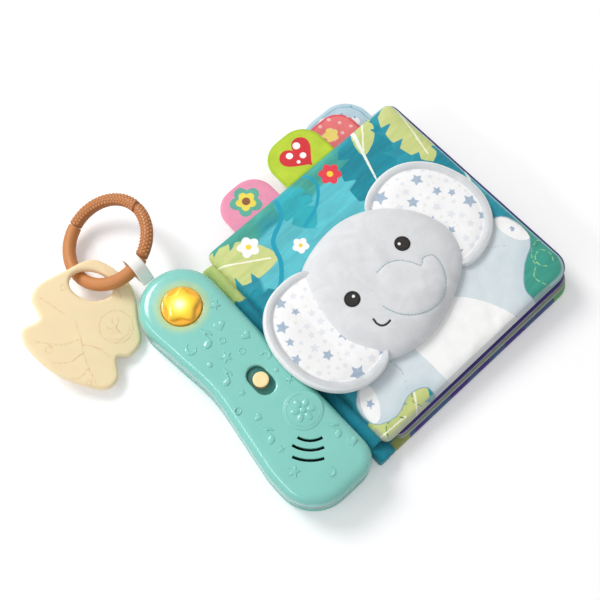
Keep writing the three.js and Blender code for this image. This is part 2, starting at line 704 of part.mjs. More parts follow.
function buildLowerCase() {
  const outer = solid(caseSkin(caseOutline, 0, 0, partingZ, footRounding, -1));
  const inner = solid(caseSkin(caseOutline, moduleWall, moduleWall, partingZ + overrun, footRounding, -1));
  const posts = postPlaces.map(([x, y]) => solid(pillar(x, y, screwRecess + bossWall, 0, partingZ))
    .intersect(outer));
  const headTop = screwHeadThickness + 2 * gap;
  const bores = postPlaces.flatMap(([x, y]) => [
    solid(pillar(x, y, screwShank + screwClearance, -overrun, partingZ + overrun, 10)),
    solid(pillar(x, y, screwRecess, -overrun, headTop + gap, 14)),
  ]);
  const ledgeTop = hemZ - gap;
  const ledge = solid(box([moduleRight - moduleWall - ledgeWidth, bindLow - moduleWall / 2, moduleWall / 2],
    [moduleRight - moduleWall / 2, bindHigh + moduleWall / 2, ledgeTop]));
  const ledgeBores = clampScrewPlaces.map((y) => solid(pillar(
    clampScrewX, y, clampScrewShank + screwClearance, 2 * moduleWall, partingZ + overrun, 10)));
  const opening = solid(box([doorLeft - gap, doorLow - gap, -overrun],
    [doorRight + gap, doorHigh + 2 * gap, moduleWall + overrun]));
  const wallTop = partingZ - moduleWall / 2;
  const wallLeft = doorLeft - gap - moduleWall / 2;
  const wallRight = doorRight + gap + moduleWall / 2;
  const cradle = without(
    solid(box([wallLeft, doorLow - gap - moduleWall / 2, moduleWall / 2],
      [wallRight, doorHigh + 2 * gap + moduleWall / 2, wallTop])),
    solid(box([doorLeft - gap, doorLow - gap, -overrun], [doorRight + gap, doorHigh + 2 * gap, partingZ])));
  const doorBoss = solid(box([doorScrewX - screwRecess, doorScrewY - screwRecess, doorThickness + 2 * gap],
    [doorScrewX + screwRecess, doorLow - gap, wallTop]));
  const doorBore = solid(pillar(doorScrewX, doorScrewY, doorScrewShank + screwClearance,
    -overrun, partingZ + overrun, 10));
  const noseWell = solid(plate(doorNoseOutline(gap), -overrun, doorThickness + gap));
  const shell = joined(without(outer, inner, opening), cradle, doorBoss, ledge, ...posts);
  place(book, 'lower_case',
    without(shell, bindingCut(), noseWell, doorBore, ...ledgeBores, ...bores), paint.tealDark, 0.4);
}

// The door ends in a rounded nose that carries its captive screw
function doorNoseOutline(spare) {
  const radius = screwHead + moduleWall + spare;
  return [
    ...arc(doorScrewX, doorScrewY, radius, Math.PI, 2 * Math.PI, 8),
    [doorScrewX + radius, doorLow + doorThickness], [doorScrewX - radius, doorLow + doorThickness],
  ];
}

function buildBatteries() {
  const door = joined(solid(box([doorLeft, doorLow, 0], [doorRight, doorHigh, doorThickness])),
    solid(plate(doorNoseOutline(0), 0, doorThickness)));
  const headTop = doorThickness / 2 + gap;
  const head = solid(pillar(doorScrewX, doorScrewY, screwHead + gap, -overrun, headTop + gap, 14));
  const bore = solid(pillar(doorScrewX, doorScrewY, doorScrewShank + gap, -overrun,
    doorThickness + overrun, 10));
  place(book, 'battery_door', without(door, head, bore), paint.tealDark, 0.4);
  place(book, 'battery_door_screw', joined(
    solid(pillar(doorScrewX, doorScrewY, screwHead, gap, headTop, 14)),
    solid(pillar(doorScrewX, doorScrewY, doorScrewShank, headTop / 2, doorScrewLength, 10))),
  paint.steel, 0.3, 1);
  const cellLow = bayLow + contactThickness + springLength + gap;
  const cellHigh = doorHigh - contactThickness - springLength - gap;
  const nub = batteryRadius * nubShare;
  const shoulderY = batteryLength - nubHeight;
  const cell = [
    [0, 0], [batteryRadius, 0], [batteryRadius, shoulderY], [nub, shoulderY], [nub, batteryLength],
    [0, batteryLength],
  ];
  place(book, 'battery_1', turned(cell, 0, 0, 16).rotateX(-Math.PI / 2)
    .translate(batteryX, cellLow, batteryZ), paint.cell, 0.35);
  place(book, 'battery_2', turned(cell, 0, 0, 16).rotateX(Math.PI / 2)
    .translate(batteryX + batteryPitch, cellHigh, batteryZ), paint.cell, 0.35);
  const half = batteryRadius - contactInset;
  const tag = (from, to, y) => solid(box([from - half, y, batteryZ - half],
    [to + half, y + contactThickness, batteryZ + half]));
  const rooted = springLength + contactThickness / 2;
  const spring = (x, y, turn) => solid(
    new THREE.CylinderGeometry(nub, half, rooted, 12).rotateX(turn).translate(x, y, batteryZ));
  const low = bayLow;
  const high = doorHigh - contactThickness;
  const seat = contactThickness / 2 + rooted / 2;
  const right = batteryX + batteryPitch;
  place(book, 'negative_contact', joined(tag(batteryX, batteryX, low), spring(batteryX, low + seat, 0)),
    paint.steel, 0.35, 1);
  place(book, 'positive_contact', tag(right, right, low), paint.steel, 0.35, 1);
  place(book, 'bridge_contact', joined(tag(batteryX, right, high), spring(right, doorHigh - seat, Math.PI)),
    paint.steel, 0.35, 1);
}

// Screws from below that hold the two case halves together
function buildCaseScrews() {
  postPlaces.forEach(([x, y], index) => {
    place(book, `case_screw_${index + 1}`, joined(
      solid(pillar(x, y, screwHead, gap, screwHeadThickness + gap, 14)),
      solid(pillar(x, y, screwShank, screwHeadThickness, screwReach, 8))), paint.steel, 0.35, 1);
  });
}

// Clamp bar and screws that grip the book's hem
function buildBinding() {
  const hemTop = hemZ + hemThickness + gap;
  const barTop = hemTop + clampThickness;
  const bar = box([moduleRight - hemReach, bindLow + gap, hemTop],
    [moduleRight - moduleWall - gap, bindHigh - gap, barTop]);
  const holes = clampScrewPlaces.map((y) => solid(pillar(
    clampScrewX, y, clampScrewShank + screwClearance, hemTop - overrun, barTop + overrun, 10)));
  place(book, 'binding_clamp_bar', without(solid(bar), ...holes), paint.darkPlastic, 0.5);
  clampScrewPlaces.forEach((y, index) => {
    place(book, `clamp_screw_${index + 1}`, joined(
      solid(pillar(clampScrewX, y, clampScrewHead, barTop + gap, barTop + gap + clampHeadHeight, 12)),
      solid(pillar(clampScrewX, y, clampScrewShank, 2 * moduleWall + gap, barTop + clampHeadHeight, 8))),
    paint.steel, 0.35, 1);
  });
}

// Circuit board with its lamps, dome and slide switch
function buildElectronics() {
  const top = boardZ + boardThickness;
  const hole = solid(pillar(boardScrewX, boardScrewY, boardScrewShank + screwClearance,
    boardZ - overrun, top + overrun, 8));
  const board = solid(box([boardLeft, boardLow, boardZ], [boardRight, boardHigh, top]));
  place(book, 'circuit_board', without(board, hole), paint.board, 0.5);
  place(book, 'board_screw', joined(
    solid(pillar(boardScrewX, boardScrewY, boardScrewHead, boardZ - gap - boardHeadHeight, boardZ - gap, 10)),
    solid(pillar(boardScrewX, boardScrewY, boardScrewShank, boardZ - boardHeadHeight / 2,
      innerTop - boardScrewCover, 8))),
  paint.steel, 0.35, 1);
  place(book, 'button_lamp', turned([
    [0, top + gap], [lampRadius, top + gap], [lampRadius, top + gap + lampHeight / 2],
    [lampRadius * 0.7, top + gap + lampHeight * 0.85], [0, top + gap + lampHeight],
  ], buttonX - lampOffset, buttonY, 12), paint.lamp, 0.2);
  place(book, 'button_dome', turned([
    [0, top + gap], [domeRadius, top + gap], [domeRadius, top + gap + domeHeight / 4],
    [stemRadius, top + gap + domeHeight], [0, top + gap + domeHeight],
  ], buttonX, buttonY, 16), paint.rubber, 0.8);
  const bodyTop = top + gap + switchHeight;
  const body = solid(box([switchX - switchWidth / 2, switchY - switchLength / 2, top + gap],
    [switchX + switchWidth / 2, switchY + switchLength / 2, bodyTop]));
  const half = switchStem / 2 + gap;
  const groove = solid(box([switchX - half, switchY - half - knobTravel, bodyTop - switchGroove],
    [switchX + half, switchY + half + knobTravel, bodyTop + overrun]));
  place(book, 'volume_switch', body.subtract(groove), paint.darkPlastic, 0.4);
}

// Round slide knob with a skirt under the case that keeps the slot covered
function buildKnob() {
  const switchTop = boardZ + boardThickness + gap + switchHeight;
  const skirtTop = innerTop - gap;
  const skirtLength = slotLength + 2 * knobTravel + 2 * skirtOverlap;
  const skirt = plate(slot(switchX, switchY, slotWidth + 2 * skirtOverlap, skirtLength, 4),
    skirtTop - skirtThickness, skirtTop);
  const cap = moduleTop + knobRise;
  const foot = skirtTop - skirtThickness / 2;
  const peg = turned([
    [0, foot], [knobRadius, foot], [knobRadius, cap - knobEdge], [knobRadius - knobEdge, cap], [0, cap],
  ], switchX, switchY, 20);
  const half = switchStem / 2;
  const stem = box([switchX - half, switchY - half, switchTop - switchGroove + gap],
    [switchX + half, switchY + half, skirtTop - skirtThickness / 2]);
  place(book, 'switch_knob', joined(solid(skirt), solid(peg), solid(stem)), paint.cream, 0.45);
}

// Star button: flange under the case, round base, rounded star and a stem onto the dome
function buildButton() {
  const baseTop = moduleTop + buttonRise;
  const flangeTop = innerTop - gap;
  const flangeBottom = flangeTop - flangeThickness;
  const domeTop = boardZ + boardThickness + gap + domeHeight;
  const star = smoothClosed(Array.from({ length: 10 }, (_, i) => {
    const radius = starOuter * (i % 2 ? starInnerShare : 1);
    const angle = 90 * degree + i * 36 * degree;
    return [buttonX + radius * Math.cos(angle), buttonY + radius * Math.sin(angle)];
  }), 40);
  const starLoops = [
    [0, baseTop - buttonRise / 2], [0, baseTop + starRise * 0.6], [starRise * 0.25, baseTop + starRise * 0.9],
    [starRise * 0.6, baseTop + starRise],
  ].map(([inset, z]) => levelLoop(moveIn(star, inset), z));
  place(book, 'star_button', joined(
    solid(pillar(buttonX, buttonY, buttonFlange, flangeBottom, flangeTop, 24)),
    solid(pillar(buttonX, buttonY, buttonRadius, flangeTop - flangeThickness / 2, baseTop, 32)),
    solid(pillar(buttonX, buttonY, stemRadius, domeTop + gap, flangeTop - flangeThickness / 2, 12)),
    solid(loft(starLoops))), paint.yellow, 0.25);
}

// Loudspeaker under the grille
function buildSpeaker() {
  const top = innerTop - gap;
  const bottom = top - speakerDepth;
  const basket = bottom + speakerDepth * basketShare;
  const neck = magnetRadius + basketRim;
  place(book, 'speaker_frame', turned([
    [0, bottom], [magnetRadius, bottom], [magnetRadius, basket], [neck + basketRim, basket],
    [speakerRadius - basketRim, top - speakerFlange], [speakerRadius, top - speakerFlange],
    [speakerRadius, top], [speakerRadius - speakerFlange, top], [neck, basket + speakerFlange],
    [0, basket + speakerFlange],
  ], speakerX, speakerY), paint.magnet, 0.4, 0.6);
  const coneLow = basket + speakerFlange + gap;
  const rim = speakerRadius - speakerFlange - 3 * gap;
  place(book, 'speaker_cone', turned([
    [0, coneLow], [magnetRadius / 2, coneLow], [rim, top - gap - coneThickness], [rim, top - gap],
    [magnetRadius / 2, coneLow + coneThickness], [0, coneLow + coneThickness],
  ], speakerX, speakerY), paint.darkPlastic, 0.8);
}

// Plane with a given rise along X and Y, as a group at one of its points
function slopedGroup(x, y, z, riseX, riseY) {
  const group = new THREE.Group();
  const normal = new THREE.Vector3(-riseX, -riseY, 1).normalize();
  group.position.set(x, y, z);
  group.quaternion.setFromUnitVectors(new THREE.Vector3(0, 0, 1), normal);
  book.add(group);
  return group;
}

// Ring in two halves: one smooth, one with a gripping texture
const ringGroup = slopedGroup(ringX, ringY, ringZ, ringSlopeX, ringSlopeY);
const ringSplitAngle = 3 * degree;        // where the halves meet, from the ring's +X side
function buildRing() {
  const halfGap = gap / 2 / ringRadius;
  const sections = (from, to) => Array.from({ length: 15 }, (_, step) => {
    const turn = from + halfGap + (to - from - 2 * halfGap) * step / 14;
    return arc(0, 0, ringSection, 0, 2 * Math.PI, 10).slice(0, 10).map(([out, up]) => [
      (ringRadius + out) * Math.cos(turn), (ringRadius + out) * Math.sin(turn), up]);
  });
  const [from, middle, to] = [-75, 105, 285].map((angle) => ringSplitAngle + angle * degree);
  place(ringGroup, 'ring_textured_half', loft(sections(from, middle)),
    paint.brown, 0.5);
  place(ringGroup, 'ring_smooth_half', loft(sections(middle, to)),
    paint.brown, 0.4);
}

// Silicone teether: a two-tier leaf with an oval hole, threaded on the ring
const riseTowards = new THREE.Vector2(-0.6, 0.8);
const teetherLow = Math.min(...teetherShares.map(([x, y]) =>
  x * teetherWidth * riseTowards.x + y * teetherHeight * riseTowards.y));
const teetherZ = teetherThickness / 2 - teetherLow * teetherSlope + gap;
const teetherGroup = slopedGroup(teetherX, teetherY, teetherZ,
  teetherSlope * riseTowards.x, teetherSlope * riseTowards.y);
function buildTeether() {
  const outline = smoothClosed(teetherShares.map(([x, y]) => [x * teetherWidth, y * teetherHeight]), 52);
  const inset = moveIn(outline.toReversed(), teetherEdge);
  const shape = new THREE.Shape(inset.map(([x, y]) => new THREE.Vector2(x, y)));
  const hole = arc(0, 0, 1, 0, 2 * Math.PI, 20).slice(0, 20).map(([a, b]) => {
    const along = a * (teetherHoleLong / 2 + teetherEdge);
    const across = b * (teetherHoleWide / 2 + teetherEdge);
    return new THREE.Vector2(
      along * riseTowards.x - across * riseTowards.y, along * riseTowards.y + across * riseTowards.x);
  });
  shape.holes.push(new THREE.Path(hole));
  const geometry = new THREE.ExtrudeGeometry(shape, {
    depth: teetherThickness - 2 * teetherEdge, bevelThickness: teetherEdge, bevelSize: teetherEdge,
    bevelSegments: 2,
  });
  geometry.translate(0, 0, teetherEdge - teetherThickness / 2);
  place(teetherGroup, 'leaf_teether', geometry, paint.teether, 0.6);
}

// Ribbon: an end anchored in the case and a loop that holds the ring
const ribbonInnerY = starEndY + starEndRadius - moduleWall - ribbonTail;
const ribbonPivotY = starEndY + starEndRadius + ribbonStandoff + ribbonThickness;
function buildRibbon() {
  const half = ribbonWidth / 2;
  const round = ribbonThickness + gap / 2;
  place(book, 'ribbon_anchor', box([ribbonX - half, ribbonInnerY + gap, ribbonZ - round + gap],
    [ribbonX + half, ribbonPivotY - round - gap, ribbonZ + round - gap]), paint.ribbon, 0.9);
  const tube = new THREE.Vector3(ribbonX - ringX, -Math.sqrt(ringRadius ** 2 - (ribbonX - ringX) ** 2), 0)
    .applyQuaternion(ringGroup.quaternion).add(ringGroup.position);
  const teardrop = (small, large, start) => {
    const reach = Math.hypot(tube.y - ribbonPivotY, tube.z - ribbonZ);
    const heading = Math.atan2(tube.z - ribbonZ, tube.y - ribbonPivotY);
    const lean = Math.acos((small - large) / (reach - start));
    const local = [
      ...arc(start, 0, small, lean, 2 * Math.PI - lean, 5),
      ...arc(reach, 0, large, -lean, lean, 14),
    ];
    return local.map(([a, b]) => [
      ribbonPivotY + a * Math.cos(heading) - b * Math.sin(heading),
      ribbonZ + a * Math.sin(heading) + b * Math.cos(heading)]);
  };
  const bore = ringSection + 5 * gap + ringSlopeX * half;
  const outer = plate(teardrop(round, bore + ribbonThickness, 0), -half, half);
  const inner = plate(teardrop(gap, bore, 3 * ribbonThickness), -half - overrun, half + overrun);
  const toSide = new THREE.Matrix4().makeBasis(
    new THREE.Vector3(0, 1, 0), new THREE.Vector3(0, 0, 1), new THREE.Vector3(1, 0, 0));
  const loop = solid(outer.applyMatrix4(toSide)).subtract(solid(inner.applyMatrix4(toSide)));
  place(book, 'ribbon_loop', geometryOf(loop).translate(ribbonX, 0, 0), paint.ribbon, 0.9);
}

buildBackCover();
buildSpineWrap();
for (let number = 1; number <= leafCount; number++) buildLeaf(number);
buildFrontCover();
buildHead();
buildEar('left', leftEar);
buildEar('right', rightEar);
buildUpperCase();
buildLowerCase();
buildBatteries();
buildCaseScrews();
buildBinding();
buildElectronics();
buildKnob();
buildButton();
buildSpeaker();
buildRing();
buildTeether();
buildRibbon();

export default toy;
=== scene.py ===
import json
import math

import bpy
import numpy as np
from mathutils import Matrix, Vector, geometry
from mathutils.bvhtree import BVHTree

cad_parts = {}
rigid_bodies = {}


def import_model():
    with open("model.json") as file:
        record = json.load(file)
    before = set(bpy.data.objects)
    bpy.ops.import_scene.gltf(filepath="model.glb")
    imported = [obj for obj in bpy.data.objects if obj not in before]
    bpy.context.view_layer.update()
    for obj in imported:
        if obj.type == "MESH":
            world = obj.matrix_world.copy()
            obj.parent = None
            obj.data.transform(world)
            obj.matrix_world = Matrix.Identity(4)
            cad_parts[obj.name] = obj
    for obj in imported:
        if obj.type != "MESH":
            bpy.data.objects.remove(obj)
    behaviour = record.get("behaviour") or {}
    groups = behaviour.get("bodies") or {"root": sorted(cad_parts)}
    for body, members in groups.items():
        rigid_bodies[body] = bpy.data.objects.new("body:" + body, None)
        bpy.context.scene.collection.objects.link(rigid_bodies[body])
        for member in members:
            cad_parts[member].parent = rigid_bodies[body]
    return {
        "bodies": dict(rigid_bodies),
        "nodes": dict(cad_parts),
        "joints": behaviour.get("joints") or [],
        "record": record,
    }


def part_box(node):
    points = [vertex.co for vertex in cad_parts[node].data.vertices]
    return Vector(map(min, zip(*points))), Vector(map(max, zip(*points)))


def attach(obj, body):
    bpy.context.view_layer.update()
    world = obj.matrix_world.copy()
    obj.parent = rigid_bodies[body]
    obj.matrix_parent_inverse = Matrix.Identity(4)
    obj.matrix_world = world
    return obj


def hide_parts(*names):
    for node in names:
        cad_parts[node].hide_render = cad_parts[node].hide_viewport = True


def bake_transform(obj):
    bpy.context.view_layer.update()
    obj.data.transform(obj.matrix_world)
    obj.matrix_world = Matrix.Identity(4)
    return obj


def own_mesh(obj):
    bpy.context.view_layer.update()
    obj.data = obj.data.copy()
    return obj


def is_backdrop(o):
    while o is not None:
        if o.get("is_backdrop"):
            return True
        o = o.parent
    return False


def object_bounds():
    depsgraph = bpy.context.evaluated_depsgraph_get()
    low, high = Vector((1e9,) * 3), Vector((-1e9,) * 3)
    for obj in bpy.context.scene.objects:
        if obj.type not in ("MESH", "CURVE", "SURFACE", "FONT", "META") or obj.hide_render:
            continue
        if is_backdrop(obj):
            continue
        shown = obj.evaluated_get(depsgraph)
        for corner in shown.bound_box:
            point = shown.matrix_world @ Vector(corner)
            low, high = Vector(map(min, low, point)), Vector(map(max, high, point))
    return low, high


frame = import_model()
solid_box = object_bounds()

# Camera, floor and light. The book lies on a pale floor and is seen from steeply above, with a
# large soft lamp beyond the tabbed edge, a long low one on the module's side and a pale surrounding.
view_turn = math.radians(-42.43)
view_rise = math.radians(68.84)
view_distance = 0.58
view_middle = Vector((-0.054625, 0.0297, 0.0))
towards_view = Vector((
    math.sin(view_turn) * math.cos(view_rise),
    -math.cos(view_turn) * math.cos(view_rise),
    math.sin(view_rise),
))
view_lens = bpy.data.cameras.new("book_view")
view_lens.lens = 53.7
view_lens.sensor_width = 36
view_lens.clip_start = 0.01


def placed(name, data):
    """A new object of the scene made of the data."""
    made = bpy.data.objects.new(name, data)
    bpy.context.scene.collection.objects.link(made)
    return made


book_view = placed("book_view", view_lens)
book_view.location = view_middle + view_distance * towards_view
book_view.rotation_euler = towards_view.to_track_quat("Z", "Y").to_euler()
bpy.context.scene.camera = book_view
bpy.context.scene.view_settings.view_transform = "Standard"


def soft_lamp(name, place, aim, size, power, tint):
    light = bpy.data.lights.new(name, "AREA")
    light.shape = "ELLIPSE"
    light.size, light.size_y = size
    light.energy = power
    light.color = tint
    lamp = placed(name, light)
    lamp.location = place
    lamp.rotation_euler = (Vector(place) - Vector(aim)).to_track_quat("Z", "Y").to_euler()


soft_lamp("key_lamp", (-0.30, 1.15, 1.25), (-0.04, 0.02, 0.0), (0.75, 0.75), 15.8, (1.0, 0.985, 0.965))
soft_lamp("side_lamp", (-0.91, 0.16, 0.58), (-0.08, 0.02, 0.0), (1.15, 0.11), 2.3, (0.97, 0.985, 1.0))


def node(tree, kind, sockets=None, **settings):
    made = tree.nodes.new(kind)
    for key, value in settings.items():
        setattr(made, key, value)
    for key, value in (sockets or {}).items():
        if isinstance(value, bpy.types.NodeSocket):
            tree.links.new(value, made.inputs[key])
        else:
            made.inputs[key].default_value = value
    return made


def maths(tree, operation, *values):
    return node(tree, "ShaderNodeMath", dict(enumerate(values)), operation=operation).outputs[0]


def ranged(tree, value, low, high, first=0.0, last=1.0, **settings):
    """A value's range from low to high, turned into one from first to last."""
    limits = {"Value": value, "From Min": low, "From Max": high, "To Min": first, "To Max": last}
    return node(tree, "ShaderNodeMapRange", limits, **settings).outputs["Result"]


def colour(red, green, blue):
    """A colour given as its eight-bit values on a screen."""
    def linear(value):
        share = value / 255
        return share / 12.92 if share <= 0.04045 else ((share + 0.055) / 1.055) ** 2.4
    return (linear(red), linear(green), linear(blue), 1.0)


surround = bpy.data.worlds.new("pale_surround")
surround.use_nodes = True
sky = surround.node_tree
rays = node(sky, "ShaderNodeLightPath")
seen = maths(sky, "MAXIMUM", rays.outputs["Is Camera Ray"], rays.outputs["Is Transmission Ray"])
shiny = maths(sky, "MAXIMUM", seen, rays.outputs["Is Glossy Ray"])
level = ranged(sky, shiny, 0.0, 1.0, 0.5, 1.0)
sky.links.new(level, sky.nodes["Background"].inputs["Strength"])
sky.nodes["Background"].inputs["Color"].default_value = (1.0, 1.0, 1.0, 1.0)
bpy.context.scene.world = surround


def new_finish(name, base, roughness, **shader_values):
    finish = bpy.data.materials.new(name)
    finish.use_nodes = True
    shader = finish.node_tree.nodes["Principled BSDF"]
    shader.inputs["Base Color"].default_value = base
    shader.inputs["Roughness"].default_value = roughness
    for key, value in shader_values.items():
        shader.inputs[key.replace("_", " ")].default_value = value
    return finish, finish.node_tree, shader


def feed(shader, **sources):
    """Links the sources to the shader's sockets, whose names have underscores for their spaces."""
    for key, source in sources.items():
        shader.id_data.links.new(source, shader.inputs[key.replace("_", " ")])


floor_finish, tree, shader = new_finish("pale_floor", colour(244, 244, 246), 0.8, Specular_IOR_Level=0.1,
                                        Emission_Color=(1.0, 1.0, 1.0, 1.0))
floor_lift = maths(tree, "MULTIPLY", node(tree, "ShaderNodeLightPath").outputs["Is Camera Ray"], 0.2)
feed(shader, Emission_Strength=floor_lift)
floor_mesh = bpy.data.meshes.new("floor")
floor_half, floor_level = 3.0, -0.0002
floor_mesh.from_pydata([(x * floor_half, y * floor_half, floor_level)
                        for x, y in ((-1, -1), (1, -1), (1, 1), (-1, 1))], [], [(0, 1, 2, 3)])
floor_mesh.materials.append(floor_finish)
floor = placed("floor", floor_mesh)
floor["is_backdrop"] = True


# Sound module's case: two glossy teal shells moulded in hard plastic, with a thin parting line
# low on the side. The upper one has a broad rounded shoulder and openings for the star button,
# the volume knob and the loudspeaker. Screws from below hold them together.
book_frame = Matrix.Translation((-0.090025, -0.0773, 0.0)) @ Matrix.Scale(0.001, 4)


def arc(x, y, radius, start, stop, steps):
    turns = np.radians(np.linspace(start, stop, steps + 1))
    return np.stack([x + radius * np.cos(turns), y + radius * np.sin(turns)], 1)


def circle(x, y, radius, count):
    return arc(x, y, radius, 0, 360, count)[:-1]


def run_along(path):
    """How far along a path each of its points lies."""
    return np.concatenate([[0], np.cumsum(np.linalg.norm(np.diff(path, axis=0), axis=1))])


def smooth_path(points, count, closed=True):
    """An even run of points along a smooth curve through the given ones."""
    ring = np.asarray(points, float)
    if closed:
        line = np.vstack([ring[-1], ring, ring[:2]])
    else:
        line = np.vstack([2 * ring[0] - ring[1], ring, 2 * ring[-1] - ring[-2]])
    fine = []
    for i in range(len(line) - 3):
        p = line[i:i + 4]
        knots = np.concatenate([[0], np.cumsum(np.linalg.norm(np.diff(p, axis=0), axis=1) ** 0.5)])
        t = np.linspace(knots[1], knots[2], 60, endpoint=False)[:, None]
        first = [((knots[k + 1] - t) * p[k] + (t - knots[k]) * p[k + 1]) / (knots[k + 1] - knots[k])
                 for k in range(3)]
        second = [((knots[k + 2] - t) * first[k] + (t - knots[k]) * first[k + 1]) / (knots[k + 2] - knots[k])
                  for k in range(2)]
        fine.append(((knots[2] - t) * second[0] + (t - knots[1]) * second[1]) / (knots[2] - knots[1]))
    fine = np.vstack(fine + [line[-2:-1] if not closed else line[1:2]])
    length = run_along(fine)
    at = np.linspace(0, length[-1], count, endpoint=not closed)
    return np.stack([np.interp(at, length, fine[:, k]) for k in range(fine.shape[1])], 1)


def even_loop(points, spacing):
    """The same closed outline with points a given distance apart."""
    ring = np.vstack([points, points[:1]])
    length = run_along(ring)
    at = np.linspace(0, length[-1], max(8, int(round(length[-1] / spacing))), endpoint=False)
    return np.stack([np.interp(at, length, ring[:, k]) for k in range(2)], 1)


def eased(outline):
    """Each point of a closed outline drawn towards its neighbours."""
    return (np.roll(outline, 1, 0) + 2 * outline + np.roll(outline, -1, 0)) / 4


def inset(outline, distance):
    """A counter-clockwise outline moved inwards."""
    along = np.roll(outline, -1, 0) - np.roll(outline, 1, 0)
    along /= np.linalg.norm(along, axis=1)[:, None]
    return outline + distance * np.stack([-along[:, 1], along[:, 0]], 1)


def within(points, outline):
    result = np.zeros(len(points), bool)
    for a, b in zip(outline, np.roll(outline, -1, 0)):
        crosses = (a[1] > points[:, 1]) != (b[1] > points[:, 1])
        run = b[1] - a[1] if abs(b[1] - a[1]) > 1e-12 else 1e-12
        result ^= crosses & (points[:, 0] < (b[0] - a[0]) * (points[:, 1] - a[1]) / run + a[0])
    return result


def distance_to(points, path, closed=True):
    starts = path if closed else path[:-1]
    ends = np.roll(path, -1, 0) if closed else path[1:]
    nearest = np.full(len(points), 1e9)
    for a, b in zip(starts, ends):
        run = b - a
        share = np.clip(((points - a) @ run) / max(run @ run, 1e-12), 0, 1)
        nearest = np.minimum(nearest, np.linalg.norm(points - a - share[:, None] * run, axis=1))
    return nearest


def signed_distance(points, outline):
    outline = np.asarray(outline, float)
    nearest = distance_to(points, outline)
    return np.where(within(points, outline), -nearest, nearest)


def lattice(outline, spacing, holes=()):
    """Points and triangles that fill an outline. The outline's own points come first, then the holes'."""
    loops = [np.asarray(outline, float)] + [np.asarray(hole, float) for hole in holes]
    low, high = loops[0].min(0), loops[0].max(0)
    rows = int((high[1] - low[1]) / (spacing * 0.866)) + 1
    columns = int((high[0] - low[0]) / spacing) + 2
    grid = np.array([(low[0] + (column + row % 2 / 2) * spacing, low[1] + row * spacing * 0.866)
                     for row in range(rows) for column in range(columns)])
    keep = within(grid, loops[0])
    for hole in loops[1:]:
        keep &= ~within(grid, hole)
    for loop in loops:
        keep &= distance_to(grid, loop) > 0.6 * spacing
    points = np.vstack(loops + [grid[keep]])
    edges, start = [], 0
    for loop in loops:
        edges += [(start + i, start + (i + 1) % len(loop)) for i in range(len(loop))]
        start += len(loop)
    found = geometry.delaunay_2d_cdt([Vector(p) for p in points], edges, [], 0, 1e-7)
    source = [ids[0] if ids else -1 for ids in found[3]]
    faces = np.array([[source[i] for i in face] for face in found[2] if min(source[i] for i in face) >= 0])
    middles = points[faces].mean(1)
    keep = within(middles, loops[0])
    for hole in loops[1:]:
        keep &= ~within(middles, hole)
    return points, faces[keep]


class Skin:
    """Points and faces of one closed skin, gathered loop by loop, in millimetres."""

    def __init__(self):
        self.points, self.faces, self.count = [], [], 0

    def add(self, points):
        self.points.append(np.asarray(points, float))
        self.count += len(points)
        return np.arange(self.count - len(points), self.count)

    def level(self, outline, z):
        outline = np.asarray(outline, float)
        return self.add(np.column_stack([outline, np.broadcast_to(z, len(outline))]))

    def steps(self, outline, *steps):
        """Loops that follow an outline. Each step says how far inwards and how high its loop is."""
        return [self.level(inset(outline, inward), height) for inward, height in steps]

    def band(self, lower, upper):
        self.faces += [(a, b, d, c) for a, b, c, d in
                       zip(lower, np.roll(lower, -1), upper, np.roll(upper, -1))]

    def fan(self, loop, flip=False):
        points = np.vstack(self.points)
        middle = self.add([points[loop].mean(0)])[0]
        self.faces += [(b, a, middle) if flip else (a, b, middle) for a, b in zip(loop, np.roll(loop, -1))]

    def stack(self, loops, closed=False):
        """Bands between loops that follow each other, with both ends closed by fans."""
        for lower, upper in zip(loops, loops[1:]):
            self.band(lower, upper)
        if closed:
            self.fan(loops[0], flip=True)
            self.fan(loops[-1])

    def fill(self, triangles, places, flip=False):
        for face in triangles:
            corners = [places[i] for i in face]
            self.faces.append(corners[::-1] if flip else corners)

    def mesh(self, name, at, finishes, sharp=35):
        data = bpy.data.meshes.new(name)
        data.from_pydata(np.vstack(self.points).tolist(), [], [tuple(int(i) for i in f) for f in self.faces])
        data.transform(at)
        data.validate()
        for finish in finishes:
            data.materials.append(finish)
        data.shade_smooth()
        data.set_sharp_from_angle(angle=math.radians(sharp))
        return placed(name, data)


def scaled(tree, vector, share):
    return node(tree, "ShaderNodeVectorMath", {0: vector, 3: share}, operation="SCALE").outputs[0]


def object_place(tree):
    """The place on the object, in millimetres."""
    return scaled(tree, node(tree, "ShaderNodeTexCoord").outputs["Object"], 1000.0)


def parts(tree, vector):
    return node(tree, "ShaderNodeSeparateXYZ", {0: vector}).outputs


def distance_from(tree, x, y, z):
    """How far the surface is from a place on the book, in millimetres."""
    place = tuple(1000 * v for v in book_frame @ Vector((x, y, z)))
    return node(tree, "ShaderNodeVectorMath", {0: object_place(tree), 1: place},
                operation="DISTANCE").outputs["Value"]


def noise(tree, place, scale, detail, **more):
    return node(tree, "ShaderNodeTexNoise",
                {"Vector": place, "Scale": scale, "Detail": detail, **more}).outputs["Fac"]


def mixed(tree, share, first, second):
    return node(tree, "ShaderNodeMix", {"Factor": share, "A": first, "B": second},
                data_type="RGBA").outputs["Result"]


def relief(tree, height, strength, distance, under=None):
    """A bump's normals, laid over another bump's where one is given."""
    bump = node(tree, "ShaderNodeBump", {"Height": height, "Strength": strength, "Distance": distance})
    if under is not None:
        tree.links.new(under, bump.inputs["Normal"])
    return bump.outputs["Normal"]


def varied(tree, place, base, change, scale):
    """A colour that drifts a little lighter and darker over the surface."""
    patches = noise(tree, place, scale, 4.0)
    level = ranged(tree, patches, 0.3, 0.7, 1.0 - change, 1.0 + change)
    return scaled(tree, base if isinstance(base, bpy.types.NodeSocket) else base[:3], level)


